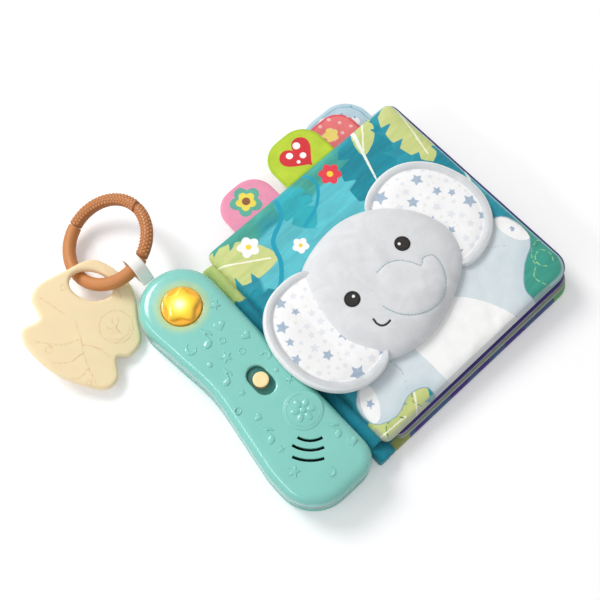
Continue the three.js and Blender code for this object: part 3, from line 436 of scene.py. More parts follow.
def moulded(name, base, roughness=0.3, grain=0.02, **shader_values):
    """Moulded plastic: a faint flow in its colour, a fine grain, and rubbed patches that are less shiny."""
    finish, tree, shader = new_finish(name, base, roughness, **shader_values)
    place = object_place(tree)
    rubbed = noise(tree, place, 0.16, 6.0, Roughness=0.7)
    feed(shader, Base_Color=varied(tree, place, base, 0.025, 0.05),
         Roughness=ranged(tree, rubbed, 0.35, 0.75, roughness, roughness + 0.12),
         Normal=relief(tree, noise(tree, place, 2.4, 3.0), grain, 0.0004))
    return finish


star_x, star_y, star_end = -28.5, 146.3, 26.5
waist = smooth_path([(-55.0, 146.3), (-52.2, 119.15), (-50.0, 92.0), (-54.0, 60.45), (-58.0, 33.1)], 50,
                    closed=False)
case_outline = even_loop(np.vstack([
    arc(star_x, star_y, star_end, 0, 180, 60), waist[1:], arc(-32.0, 21.0, 26.0, 180, 270, 30),
    arc(-16.0, 9.0, 14.0, -90, 0, 18),
]), 1.6)
for _ in range(3):
    case_outline = eased(case_outline)
case_top, case_rim, case_wall = 29.0, 8.3, 2.0
shoulder, foot_rounding = 8.0, 2.5
case_face = inset(case_outline, shoulder)
crown_drop = 0.6


def case_height(points):
    """Height of the case's gently crowned top."""
    edge = distance_to(points, case_face)
    return case_top - crown_drop * np.exp(-edge / 5)


def rounded_slot(x, y, width, length, steps=16):
    half = (length - width) / 2
    return np.vstack([arc(x, y + half, width / 2, 0, 180, steps),
                      arc(x, y - half, width / 2, 180, 360, steps)])


grille_x, grille_y = -17, 41


def grille_slot(radius, start, stop, width=1.7, steps=26):
    return np.vstack([arc(grille_x, grille_y, radius + width / 2, start, stop, steps),
                      arc(grille_x, grille_y, radius - width / 2, stop, start, steps)])


button_x, button_y, button_radius = -28.5, 144.5, 12.5
knob_x, knob_y = -23.5, 77.0
top_holes = [
    (circle(button_x, button_y, button_radius + 0.3, 64), 0.7),
    (rounded_slot(knob_x, knob_y, 12.4, 20.0), 1.3),
    (grille_slot(14.3, 197, 258), 0.3), (grille_slot(19.8, 196, 252), 0.3),
    (grille_slot(25.8, 204, 246), 0.3),
]
case_teal = moulded("teal_shell", colour(128, 205, 194), 0.2, grain=0.015, Coat_Weight=0.7,
                    Coat_Roughness=0.08)
tree = case_teal.node_tree
shader = tree.nodes["Principled BSDF"]
# Painted glow: a yellow tint on the teal round the star button stands for its lamp's light on the case.
lit_by = distance_from(tree, button_x, button_y, case_top)
glow = ranged(tree, lit_by, 12.5, 19.5, 0.55, 0.0, interpolation_type="SMOOTHSTEP")
# Painted shade: the teal turns deeper lower down on the shell's sides, for the shade that falls there.
shell_rise = parts(tree, object_place(tree))[2]
towards_top = ranged(tree, shell_rise, 12.0, 28.6)
teal_with_painted_side_shade = mixed(tree, towards_top, colour(86, 190, 177),
                   shader.inputs["Base Color"].links[0].from_socket)
feed(shader, Base_Color=mixed(tree, glow, teal_with_painted_side_shade, colour(222, 222, 112)))


def case_half(name, face_holes, rim, face, rounding, side, finish):
    """One shell: an outer skin from its rim to the flat face, holes with softened lips, and an inner skin."""
    skin = Skin()
    outer = [skin.level(inset(case_outline, 0.25), rim), skin.level(case_outline, rim + side * 0.25)]
    for step in range(13):
        turn = math.radians(90 * step / 12)
        drop = crown_drop * math.sin(turn) ** 4 if side > 0 else 0
        outer.append(skin.level(inset(case_outline, rounding * (1 - math.cos(turn))),
                                face - side * rounding * (1 - math.sin(turn)) - side * drop))
    inner_face = face - side * case_wall
    inner = [skin.level(inset(case_outline, case_wall), rim)]
    inner_rounding = max(rounding - case_wall, 0.5)
    for step in range(7):
        turn = math.radians(90 * step / 6)
        drop = inner_rounding * (1 - math.sin(turn)) + crown_drop
        inner.append(skin.level(inset(case_outline, case_wall + inner_rounding * (1 - math.cos(turn))),
                                inner_face - side * drop))
    skin.stack(inner[::-1] + outer)
    border = inset(case_outline, rounding)
    wide = [inset(hole, -lip) for hole, lip in face_holes]
    points, triangles = lattice(border, 3.0, wide)
    heights = case_height(points) if side > 0 else np.full(len(points), face)
    places = np.concatenate([outer[-1], skin.add(np.column_stack([points, heights])[len(border):])])
    skin.fill(triangles, places)
    inner_border = inset(case_outline, case_wall + inner_rounding)
    bare = [hole for hole, lip in face_holes]
    inner_points, inner_triangles = lattice(inner_border, 4.0, bare)
    under = skin.level(inner_points[len(inner_border):], inner_face - side * crown_drop)
    inner_places = np.concatenate([inner[-1], under])
    skin.fill(inner_triangles, inner_places, flip=True)
    outer_start, inner_start = len(border), len(inner_border)
    for (hole, lip), rim_line in zip(face_holes, wide):
        upper = places[outer_start:outer_start + len(hole)]
        level = (case_height(rim_line) if side > 0 else np.full(len(hole), face))
        for step in range(1, 5):
            turn = math.radians(90 * step / 4)
            lower = skin.level(inset(hole, -lip * (1 - math.sin(turn))),
                               level - side * lip * (1 - math.cos(turn)))
            skin.band(upper, lower)
            upper = lower
        skin.band(upper, inner_places[inner_start:inner_start + len(hole)])
        outer_start += len(hole)
        inner_start += len(hole)
    if side < 0:
        skin.faces = [face_points[::-1] for face_points in skin.faces]
    piece = skin.mesh(name, book_frame, [finish], sharp=50)
    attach(piece, "module_and_back")
    return piece


upper_shell = case_half("upper_shell", top_holes, case_rim, case_top, shoulder, 1, case_teal)
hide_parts("upper_case")

door_nose_x, door_nose_y, door_nose_radius = -33.2, 49.2, 5.1
door_opening = np.vstack([
    [(-20.85, 51.7), (-20.85, 101.6), (-45.55, 101.6), (-45.55, 51.7)],
    [(-38.6, 51.7)], arc(door_nose_x, door_nose_y, door_nose_radius + 0.3, 180, 360, 12), [(-27.8, 51.7)],
])
screw_places = [(-10.7, 156.5), (-10.7, 3.7), (-50.0, 49.0)]
bottom_holes = [(even_loop(door_opening, 2.0), 0.25)]
bottom_holes += [(circle(x, y, 3.2, 24), 0.35) for x, y in screw_places]
# The lower shell, the battery door and its grip ribs take a deeper copy of the case's teal: painted shade of
# the case's lower side.
lower_teal = moulded("teal_shell_lower", colour(92, 190, 176), 0.26, grain=0.02, Coat_Weight=0.15,
                     Coat_Roughness=0.2)
lower_shell = case_half("lower_shell", bottom_holes, 8.0, 0.0, foot_rounding, -1, lower_teal)
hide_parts("lower_case")


# Small figures moulded on the case's top: stars, hearts, half moons, single notes, dots and rings,
# half a millimetre high with soft edges, and a flat disc with a daisy beside the loudspeaker.
def star_outline(radius, waist_share, turn=0.0, points=5, soft=8):
    corners = []
    for i in range(2 * points):
        reach = radius * (waist_share if i % 2 else 1)
        angle = math.radians(90 + turn + i * 180 / points)
        corners.append((reach * math.cos(angle), reach * math.sin(angle)))
    return smooth_path(corners, 2 * points * soft)


def turned(shape, degrees):
    angle = math.radians(degrees)
    return shape @ np.array([[math.cos(angle), math.sin(angle)], [-math.sin(angle), math.cos(angle)]])


def heart_outline(radius, turn=0.0):
    t = np.linspace(0, 2 * np.pi, 56, endpoint=False)
    x = 16 * np.sin(t) ** 3
    y = 13 * np.cos(t) - 5 * np.cos(2 * t) - 2 * np.cos(3 * t) - np.cos(4 * t)
    return turned(even_loop(np.stack([-x, y], 1) * radius / 16, radius / 7), turn)


def moon_outline(radius, turn=0.0):
    outer = arc(0, 0, radius, 50, 310, 26)
    inner = arc(radius * 0.45, 0, radius * 0.77, 295, 65, 20)
    return turned(smooth_path(np.vstack([outer, inner[1:-1]]), 50), turn)


def raised(skin, shape, x, y, height=0.45, edge=0.35):
    """A low figure with a rounded edge that stands on the case's top."""
    shape = np.asarray(shape) + (x, y)
    base = case_height(shape)
    loops = skin.steps(shape, (0, base - 0.4), (0, base + 0.35 * height),
                       (0.4 * edge, base + 0.8 * height), (edge, base + height))
    skin.stack(loops)
    start = skin.count - len(shape)
    _, triangles = lattice(inset(shape, edge), 50.0)
    skin.fill(triangles, np.arange(start, start + len(shape)))
    _, triangles = lattice(shape, 50.0)
    skin.fill(triangles, loops[0], flip=True)


def raised_ring(skin, radius, width, x, y, height=0.45):
    """A raised ring, half round in section."""
    loops = []
    for step in range(9):
        turn = math.radians(180 * step / 8)
        loop = circle(x, y, radius + width / 2 * math.cos(turn), 48)
        loops.append(skin.level(loop, case_height(loop) + height * math.sin(turn) - 0.05))
    skin.stack(loops + loops[:1])


def note_outline(size, turn=0.0):
    """A single note: a leaning oval head, a stem and one flag."""
    oval = turned(arc(0, 0, 1, 48, 335, 26) * (0.66, 0.48), 18)
    stem = [(0.68, 0.1), (0.68, 1.3), (1.0, 1.05), (1.16, 0.6), (1.34, 0.66), (1.3, 1.15), (1.02, 1.6),
            (0.72, 1.95), (0.66, 2.25), (0.4, 2.25), (0.4, 0.55)]
    return turned(even_loop(np.vstack([stem, oval]), 0.09) * size, turn)


disc_x, disc_y = -17.5, 46.5
figures = Skin()
for radius, waist_share, turn, x, y in [(3.6, 0.5, 8, -12.6, 131.5), (3.9, 0.52, -12, -29.5, 101.5),
                                        (2.3, 0.5, 20, -37.0, 78.5), (2.6, 0.5, 0, -10.8, 66.0),
                                        (2.2, 0.5, 30, -42.5, 38.0), (3.6, 0.5, 15, -45.5, 23.5)]:
    raised(figures, star_outline(radius, waist_share, turn), x, y)
for radius, turn, x, y in [(3.6, -20, -19.5, 119.5), (3.0, 15, -11.5, 104.0), (2.4, 30, -39.5, 61.0),
                           (3.2, -25, -9.0, 14.0)]:
    raised(figures, heart_outline(radius, turn), x, y)
for radius, turn, x, y in [(3.6, 30, -42.0, 119.5), (3.0, 200, -10.8, 86.5), (2.8, 100, -30.0, 9.0)]:
    raised(figures, moon_outline(radius, turn), x, y)
for size, turn, x, y in [(4.6, 0, -32.5, 115.0), (3.8, -15, -39.5, 89.5), (3.6, 20, -11.5, 22.5),
                         (4.0, 10, -43.0, 46.0)]:
    raised(figures, note_outline(size, turn), x, y, height=0.6)
for radius, count, x, y in [(1.7, 28, -40.0, 104.5), (1.3, 24, -12.5, 75.5)]:
    raised(figures, circle(0, 0, radius, count), x, y)
raised(figures, circle(0, 0, 12.0, 80), disc_x, disc_y, height=0.4, edge=0.4)
for x, y in [(-24.5, 111.0), (-46.0, 72.0), (-20.0, 98.0)]:
    raised_ring(figures, 1.9, 0.9, x, y)
moulded_figures = figures.mesh("moulded_figures", book_frame, [case_teal], sharp=60)
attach(moulded_figures, "module_and_back")

daisy = Skin()
petal = circle(0, 0, 1, 30) * (2.7, 1.9) + (4.9, 0)
for turn in range(30, 390, 60):
    raised(daisy, turned(petal, turn), disc_x, disc_y, height=0.75, edge=0.3)
raised(daisy, circle(0, 0, 1.9, 30), disc_x, disc_y, height=0.85)
raised_ring(daisy, 9.9, 0.7, disc_x, disc_y, height=0.65)
moulded_daisy = daisy.mesh("moulded_daisy", book_frame, [case_teal], sharp=60)
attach(moulded_daisy, "module_and_back")


# Battery door in the case's underside, a moulded flap with grip ribs, and the crosshead screws
# that close the door and the two shells. The screws sit in round recesses.
screw_steel = moulded("screw_steel", colour(186, 188, 192), 0.28, grain=0.05, Metallic=1.0)


def screw_mesh(shank):
    """A pan-head screw seen from below the case: a cross recess, a head 5.6 mm wide and its shank."""
    skin = Skin()
    count = 32
    turns = np.arange(count) * 2 * np.pi / count
    folds = np.abs(np.sin(2 * turns))
    profile = [(1.1, shank), (1.4, shank - 0.5), (1.4, 1.9), (2.8, 1.9), (2.8, 0.6), (2.65, 0.25),
               (2.3, 0.05)]
    loops = [skin.level(circle(0, 0, r, count), z) for r, z in profile]
    cross = np.where(folds < 0.5, 1.7, 0.55)
    rim = np.stack([cross * np.cos(turns), cross * np.sin(turns)], 1)
    loops += [skin.level(rim, 0.0), skin.level(rim * 0.85, 1.1)]
    skin.stack(loops, closed=True)
    return skin


def values_of(items, name, kind=np.float32):
    """A value of three numbers from each of a mesh's points, faces or attribute's entries."""
    found = np.zeros(len(items) * 3, kind)
    items.foreach_get(name, found)
    return found.reshape(-1, 3)


def points_of(piece):
    return values_of(piece.data.vertices, "co").astype(float)


def outward(piece):
    """Turn a closed skin's faces outwards."""
    points = points_of(piece)
    piece.data.calc_loop_triangles()
    faces = values_of(piece.data.loop_triangles, "vertices", np.int32)
    a, b, c = points[faces].transpose(1, 0, 2)
    if (np.cross(a, b) * c).sum() < 0:
        piece.data.flip_normals()


def screw_pattern(name, shank):
    piece = screw_mesh(shank).mesh(name, Matrix.Scale(0.001, 4), [screw_steel])
    outward(piece)
    return piece


case_screw_pattern = screw_pattern("case_screw_pattern", 19.7)
door_screw_pattern = screw_pattern("door_screw_pattern", 4.7)


def keep(data, name, values):
    """Keeps three numbers at each of a mesh's points."""
    kept = data.attributes.get(name) or data.attributes.new(name, "FLOAT_VECTOR", "POINT")
    kept.data.foreach_set("vector", np.asarray(values, np.float32).ravel())


def place_copies(name, points, turns, pattern, size, finish):
    """Geometry Nodes: the pattern stands on each point, at its size and turned by that point's angles."""
    tree = bpy.data.node_groups.new(name + "_tree", "GeometryNodeTree")
    _, shape, scale, coat = [
        tree.interface.new_socket(title, in_out="INPUT", socket_type="NodeSocket" + kind)
        for title, kind in [("Geometry", "Geometry"), ("Pattern", "Object"), ("Pattern size", "Float"),
                            ("Finish", "Material")]]
    tree.interface.new_socket("Geometry", in_out="OUTPUT", socket_type="NodeSocketGeometry")
    given = node(tree, "NodeGroupInput")
    part = node(tree, "GeometryNodeObjectInfo", {"Object": given.outputs["Pattern"]})
    turn = node(tree, "GeometryNodeInputNamedAttribute", {"Name": "turn"}, data_type="FLOAT_VECTOR")
    copies = node(tree, "GeometryNodeInstanceOnPoints", {
        "Points": given.outputs["Geometry"], "Instance": part.outputs["Geometry"],
        "Rotation": turn.outputs["Attribute"], "Scale": given.outputs["Pattern size"]})
    real = node(tree, "GeometryNodeRealizeInstances", {"Geometry": copies.outputs["Instances"]})
    coated = node(tree, "GeometryNodeSetMaterial", {
        "Geometry": real.outputs["Geometry"], "Material": given.outputs["Finish"]})
    node(tree, "NodeGroupOutput", {"Geometry": coated.outputs["Geometry"]})
    data = bpy.data.meshes.new(name)
    data.from_pydata([tuple(p) for p in points], [], [])
    keep(data, "turn", turns)
    piece = placed(name, data)
    modifier = piece.modifiers.new("copies", "NODES")
    modifier.node_group = tree
    modifier[shape.identifier] = pattern
    modifier[scale.identifier] = size
    modifier[coat.identifier] = finish
    settled(piece)
    return piece


def settled(piece):
    """Turns a piece with modifiers into the plain mesh that they give."""
    for modifier in piece.modifiers:
        modifier.show_viewport = True
    graph = bpy.context.evaluated_depsgraph_get()
    graph.update()
    result = bpy.data.meshes.new_from_object(piece.evaluated_get(graph))
    old = piece.data
    piece.modifiers.clear()
    piece.data = result
    bpy.data.meshes.remove(old)
    result.name = piece.name
    return piece


chance = np.random.default_rng(4)
screw_turns = [(0.0, 0.0, turn) for turn in chance.uniform(0, 1.57, len(screw_places) + 1)]
case_screws = place_copies("case_screws", [book_frame @ Vector((x, y, 0.3)) for x, y in screw_places],
                           screw_turns[1:], case_screw_pattern, 1.0, screw_steel)
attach(case_screws, "module_and_back")
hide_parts("case_screw_1", "case_screw_2", "case_screw_3")
door_screw = place_copies("door_screw", [book_frame @ Vector((door_nose_x, door_nose_y, 0.3))],
                          screw_turns[:1], door_screw_pattern, 1.0, screw_steel)
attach(door_screw, "door")
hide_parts("battery_door_screw")
for pattern in (case_screw_pattern, door_screw_pattern):
    bpy.data.objects.remove(pattern)

door_ribs = Skin()
rib_outline = rounded_slot(0, 0, 0.9, 14.0, 6)[:, ::-1] * (1, -1)
for rib in range(5):
    loops = door_ribs.steps(rib_outline + (door_nose_x, 92.0 + 2.0 * rib), (0, 0.35), (0, 0.12), (0.25, 0.0))
    door_ribs.stack(loops, closed=True)
door_grip = door_ribs.mesh("door_grip_ribs", book_frame, [lower_teal])
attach(door_grip, "door")
frame["nodes"]["battery_door"].data.materials[0] = lower_teal


# Inside the case: two cells with printed jackets and steel contacts, a green circuit board with
# its lamp and slide switch, the screwed clamp bar, and a loudspeaker with a paper cone.
board_ink, lane_ink = colour(38, 118, 66), colour(30, 100, 58)
board_green = moulded("board_green", board_ink, 0.35, grain=0.08)
tree = board_green.node_tree
lanes = node(tree, "ShaderNodeTexBrick", {
    "Vector": object_place(tree), "Scale": 0.35, "Mortar Size": 0.02, "Color1": board_ink,
    "Color2": lane_ink, "Mortar": colour(120, 160, 90)})
feed(tree.nodes["Principled BSDF"], Base_Color=lanes.outputs["Color"])
jacket, tree, shader = new_finish("cell_jacket", colour(52, 56, 62), 0.32)
place = object_place(tree)
band = maths(tree, "GREATER_THAN", parts(tree, place)["Y"], 12.0)
feed(shader, Base_Color=mixed(tree, band, colour(52, 56, 62), colour(196, 158, 88)),
     Normal=relief(tree, noise(tree, place, 0.8, 4.0), 0.05, 0.0003))
dark_moulding = moulded("dark_moulding", colour(42, 42, 48), 0.45, grain=0.1)
inside_finishes = {
    "circuit_board": board_green, "battery_1": jacket, "battery_2": jacket,
    "button_lamp": moulded("lamp_lens", colour(255, 246, 205), 0.1, grain=0.0),
    "volume_switch": dark_moulding, "binding_clamp_bar": dark_moulding,
    "speaker_frame": moulded("speaker_basket", colour(98, 100, 104), 0.4, grain=0.08, Metallic=0.7),
    "speaker_cone": moulded("cone_paper", colour(40, 40, 44), 0.85, grain=0.35),
    **dict.fromkeys(["clamp_screw_1", "clamp_screw_2", "board_screw", "positive_contact",
                     "negative_contact", "bridge_contact"], screw_steel),
}
for name, finish in inside_finishes.items():
    frame["nodes"][name].data.materials[0] = finish


# Star button: a translucent yellow star on a round amber base. Its glow from the lamp below is painted:
# a paler middle and a faint emission. It presses down on the rubber dome.
lit_yellow, tree, shader = new_finish("lit_yellow", colour(255, 205, 20), 0.16, Coat_Weight=0.5,
                                      Coat_Roughness=0.08)
place = object_place(tree)
from_middle = distance_from(tree, button_x - 0.8, button_y + 0.2, case_top + 5)
glow_ramp = node(tree, "ShaderNodeValToRGB", {"Fac": ranged(tree, from_middle, 0.5, 14.0)})
steps = glow_ramp.color_ramp.elements
steps[0].position, steps[0].color = 0.05, (1.0, 0.93, 0.6, 1.0)
steps[1].position, steps[1].color = 1.0, colour(250, 176, 10)
steps.new(0.3).color = colour(255, 232, 80)
steps.new(0.55).color = colour(255, 210, 10)
# Amber towards the foot: the base's own colour, and on the star's lower walls a painted shade at the star's
# foot.
above_base = ranged(tree, parts(tree, place)[2], case_top + 1.5, case_top + 3.6)
lit = mixed(tree, above_base, colour(246, 178, 16), glow_ramp.outputs["Color"])
# The emission is painted glow, standing for the lamp's light through the star.
feed(shader, Base_Color=lit, Emission_Color=lit,
     Emission_Strength=ranged(tree, from_middle, 1.0, 9.0, 0.32, 0.06),
     Normal=relief(tree, noise(tree, place, 1.5, 3.0), 0.02, 0.0004))
base_top = case_top + 1.6
button_skin = Skin()
profile = [(3.0, 22.9), (3.0, 25.2), (14.0, 25.2), (14.0, 26.5), (12.5, 26.7), (12.5, base_top - 0.9),
           (12.35, base_top - 0.4), (11.95, base_top - 0.1), (11.2, base_top)]
loops = [button_skin.level(circle(button_x, button_y, r, 72), z) for r, z in profile]
button_skin.stack(loops, closed=True)
star_shape = star_outline(11.8, 0.74, 32, soft=12) + (button_x, button_y)
star_loops = button_skin.steps(star_shape, (0.0, base_top - 0.3), (0.0, base_top + 1.1),
                               (0.3, base_top + 1.9), (0.9, base_top + 2.5), (1.8, base_top + 2.85))
button_skin.stack(star_loops)
face_loop = inset(star_shape, 1.8)
star_points, star_faces = lattice(face_loop, 1.0)
middle = np.array([button_x, button_y])
swell = 0.15 * (1 - np.minimum(1, np.linalg.norm(star_points - middle, axis=1) / 9) ** 2)
edge_share = np.clip(distance_to(star_points, face_loop) / 1.5, 0, 1)
star_places = np.concatenate([star_loops[-1], button_skin.add(
    np.column_stack([star_points, base_top + 2.85 + swell * edge_share])[len(face_loop):])])
button_skin.fill(star_faces, star_places)
button_skin.fan(star_loops[0], flip=True)
star_button = button_skin.mesh("star_button_cap", book_frame, [lit_yellow], sharp=50)
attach(star_button, "button")
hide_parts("star_button")


# Volume knob: a cream cap on a brown post, moulded in hard plastic. It slides in an oval slot,
# and a skirt below the slot keeps that covered wherever the knob stands. The skirt's dark teal is
# painted shade of the slot's inside.
knob_cream = moulded("knob_cream", colour(250, 228, 172), 0.35, grain=0.04)
knob_brown = moulded("knob_post_brown", colour(218, 154, 102), 0.4, grain=0.04)
slot_dark = moulded("slot_dark", colour(40, 112, 104), 0.5, grain=0.04)
knob_skin = Skin()
knob_sides, post_bands = 56, 3
profile = [(4.9, 25.9), (4.9, 29.0), (4.9, 29.35), (4.82, 29.65), (4.55, 29.9), (4.1, 30.0), (2.4, 29.92)]
loops = [knob_skin.level(circle(knob_x, knob_y, r, knob_sides), z) for r, z in profile]
knob_skin.stack(loops, closed=True)
post_faces = post_bands * knob_sides
knob_faces = len(knob_skin.faces)
skirt = rounded_slot(knob_x, knob_y, 14.4, 29.4)
knob_skin.stack(knob_skin.steps(skirt, (0.3, 25.6), (0, 25.8), (0, 26.2), (0.3, 26.4)), closed=True)
volume_knob = knob_skin.mesh("volume_knob", book_frame, [knob_cream, knob_brown, slot_dark], sharp=50)
for polygon in volume_knob.data.polygons:
    polygon.material_index = 2 if polygon.index >= knob_faces else (1 if polygon.index < post_faces else 0)
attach(volume_knob, "knob")
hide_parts("switch_knob")


# Rubber dome under the star button: a small grey moulding on the circuit board that gives way
# when the button is pressed, and springs back.
to_book = book_frame.inverted()
dome_corners = np.array([tuple(to_book @ Vector(corner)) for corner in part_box("button_dome")])
dome_least, dome_most = dome_corners.min(0), dome_corners.max(0)
dome_x, dome_y, _ = (dome_least + dome_most) / 2
dome_half = (dome_most[0] - dome_least[0]) / 2
dome_low, dome_rise = dome_least[2], dome_most[2] - dome_least[2]
dome_profile = [(1.0, 0.0), (1.0, 0.12), (0.92, 0.2), (0.8, 0.55), (0.66, 0.86), (0.55, 0.96), (0.4, 1.0)]
dome_skin = Skin()
loops = [dome_skin.level(circle(dome_x, dome_y, dome_half * share, 40), dome_low + dome_rise * rise)
         for share, rise in dome_profile]
dome_skin.stack(loops, closed=True)
dome_grey = moulded("dome_grey", colour(112, 114, 118), 0.7, grain=0.06)
rubber_dome = dome_skin.mesh("rubber_dome", book_frame, [dome_grey], sharp=50)
outward(rubber_dome)
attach(rubber_dome, "module_and_back")
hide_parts("button_dome")
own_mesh(rubber_dome)


# Back cover: a padded cloth board that lies on the floor, printed in plum and slate blue.
# Two cloths are sewn together round the edge over batting and a crinkle film.
def rounded_sheet(left, low, right, high, spine_radius, fore_radius, tab_radius=13, spacing=3.0):
    return even_loop(np.vstack([
        arc(right - fore_radius, low + fore_radius, fore_radius, -90, 0, 16),
        arc(right - tab_radius, high - tab_radius, tab_radius, 0, 90, 16),
        arc(left + spine_radius, high - spine_radius, spine_radius, 90, 180, 8),
        arc(left + spine_radius, low + spine_radius, spine_radius, 180, 270, 8),
    ]), spacing)


def ripple(points, length, seed, amount):
    """A slow uneven wave over a cloth, from a few crossing waves with a fixed seed."""
    chance = np.random.default_rng(seed)
    height = np.zeros(len(points))
    for _ in range(7):
        turn, phase = chance.uniform(0, 2 * np.pi, 2)
        wave = length * chance.uniform(0.7, 1.6)
        height += np.sin(2 * np.pi / wave * (points @ (np.cos(turn), np.sin(turn))) + phase)
    return amount * height / 7 ** 0.5


def pad_skin(outline, spacing, upper, lower, seam, insets=(1.0, 2.6)):
    """A closed pad: an upper and a lower cloth that meet in a seam round the outline.
    upper and lower give heights for points and their distances from the outline."""
    rings = [inset(outline, depth) for depth in insets]
    inner = even_loop(inset(outline, insets[-1] + 0.7 * spacing), spacing)
    core, triangles = lattice(inner, spacing)
    flat = np.vstack([outline] + rings + [core])
    depth = distance_to(flat, outline)
    count, total = len(outline), len(flat)
    skin = Skin()
    border = seam(flat, depth) if callable(seam) else seam
    top = skin.add(np.column_stack([flat, np.where(np.arange(total) < count, border, upper(flat, depth))]))
    under = skin.add(np.column_stack([flat, lower(flat, depth)])[count:])
    bottom = np.concatenate([top[:count], under])
    start = count * len(rings)
    _, strip = lattice(flat[start:start + count], 50.0, [inner])
    for layer, flip in [(top, False), (bottom, True)]:
        loops = [layer[i * count:(i + 1) * count] for i in range(len(rings) + 1)]
        for outer, nearer in zip(loops, loops[1:]):
            skin.band(*((nearer, outer) if flip else (outer, nearer)))
        skin.fill(strip, layer[start:], flip=flip)
        skin.fill(triangles, layer[start + count:], flip=flip)
    places = np.concatenate([flat, flat[count:]])
    held = np.concatenate([np.arange(count), np.arange(total, total + len(under))])
    return skin, places, held


def keep_flat(piece, places):
    """Keeps the cloth's flat coordinates on a piece, for its weave and its print."""
    keep(piece.data, "flat", np.column_stack([places, np.zeros(len(places))]))


def padded_cloth(name, outline, spacing, upper, lower, seam, finish, insets=(1.0, 2.6)):
    """The pad as an object in its own frame, in metres, and its points that the simulation holds."""
    skin, places, held = pad_skin(outline, spacing, upper, lower, seam, insets)
    piece = skin.mesh(name, Matrix.Scale(0.001, 4), [finish], sharp=180)
    keep_flat(piece, places)
    return piece, held


def set_points(piece, points):
    piece.data.vertices.foreach_set("co", np.asarray(points, np.float32).ravel())
    piece.data.update()


def swollen(piece, held, pressure, cap, spare=0.01):
    """Cloth simulation: air pressure fills the pad while its seam and underside are held.
    No point may move further than the cap, in millimetres. spare is how much wider the cloth is cut."""
    start = points_of(piece)
    group = piece.vertex_groups.new(name="seam")
    group.add([int(i) for i in held], 1.0, "REPLACE")
    cloth = piece.modifiers.new("filling", "CLOTH")
    cloth_values = {
        "quality": 6, "mass": 0.15, "tension_stiffness": 12, "compression_stiffness": 12,
        "shear_stiffness": 4, "bending_stiffness": 0.2, "shrink_min": -spare, "vertex_group_mass": "seam",
        "use_pressure": True, "uniform_pressure_force": pressure}
    for key, value in cloth_values.items():
        setattr(cloth.settings, key, value)
    cloth.settings.effector_weights.gravity = 0
    cloth.collision_settings.use_collision = False
    for step in range(1, 21):
        bpy.context.scene.frame_set(step)
    graph = bpy.context.evaluated_depsgraph_get()
    blown = piece.evaluated_get(graph).to_mesh()
    end = values_of(blown.vertices, "co")
    piece.evaluated_get(graph).to_mesh_clear()
    piece.modifiers.clear()
    piece.vertex_groups.clear()
    bpy.context.scene.frame_set(1)
    move = end - start
    length = np.linalg.norm(move, axis=1)
    limit = cap * 0.001
    move *= (limit * np.tanh(length / limit) / np.maximum(length, 1e-9))[:, None]
    set_points(piece, start + move)


def laid(piece, place):
    """Moves a cloth from its own frame, in metres, to its place's frame."""
    piece.data.transform(place @ Matrix.Scale(1000, 4))


def refined(piece, levels):
    smooth = piece.modifiers.new("smooth", "SUBSURF")
    smooth.levels = levels
    smooth.render_levels = levels
    settled(piece)
    piece.data.shade_smooth()
    return values_of(piece.data.attributes["flat"].data, "vector")[:, :2].astype(float)


def print_plate(piece, name, *shapes):
    """Up to three printed shapes, each kept on the cloth as the distance from its edge in millimetres."""
    values = np.zeros((len(shapes[0]), 3))
    values[:, :len(shapes)] = np.stack(shapes, 1)
    keep(piece.data, name, values)


def kept_on_cloth(tree, name):
    return node(tree, "ShaderNodeAttribute", attribute_name=name).outputs["Vector"]


def plate_value(tree, name, channel):
    return parts(tree, kept_on_cloth(tree, name))[channel]


def inked(tree, under, distance, ink, soft=0.12):
    """Ink laid over what is under it, wherever the distance is below zero."""
    return mixed(tree, ranged(tree, distance, soft, -soft), under, ink)


def printed(tree, ink, *inks):
    """Inks laid one over another. Each has its plate's name and channel, its tint and its edge's softness."""
    for plate, channel, tint, *soft in inks:
        ink = inked(tree, ink, plate_value(tree, plate, channel), tint, *soft)
    return ink


def threads(tree, way, pitch):
    return maths(tree, "SINE", maths(tree, "MULTIPLY", way, 2 * math.pi / pitch))


def woven(name, base, roughness=0.75, weave=0.25, crease=0.35, pitch=0.55, **shader_values):
    """Printed cotton: a fine plain weave in the cloth's own coordinates, slight creases and a soft sheen."""
    finish, tree, shader = new_finish(name, base, roughness, Sheen_Weight=0.15, Sheen_Roughness=0.5,
                                      Specular_IOR_Level=0.35, **shader_values)
    along, across, _ = parts(tree, kept_on_cloth(tree, "flat"))
    crossing = maths(tree, "MULTIPLY", threads(tree, along, pitch), threads(tree, across, pitch))
    creases = noise(tree, object_place(tree), 0.07, 5.0, Roughness=0.6, Distortion=0.6)
    fold = relief(tree, creases, crease, 0.002)
    feed(shader, Normal=relief(tree, crossing, weave, 0.00006, fold))
    return finish, tree, shader


def dye(tree, shader, source, change=0.05, scale=0.12):
    feed(shader, Base_Color=varied(tree, object_place(tree), source, change, scale))


def rounded_rise(depth, reach):
    return np.sqrt(np.clip(1 - (1 - np.minimum(depth / reach, 1)) ** 2, 0, 1))


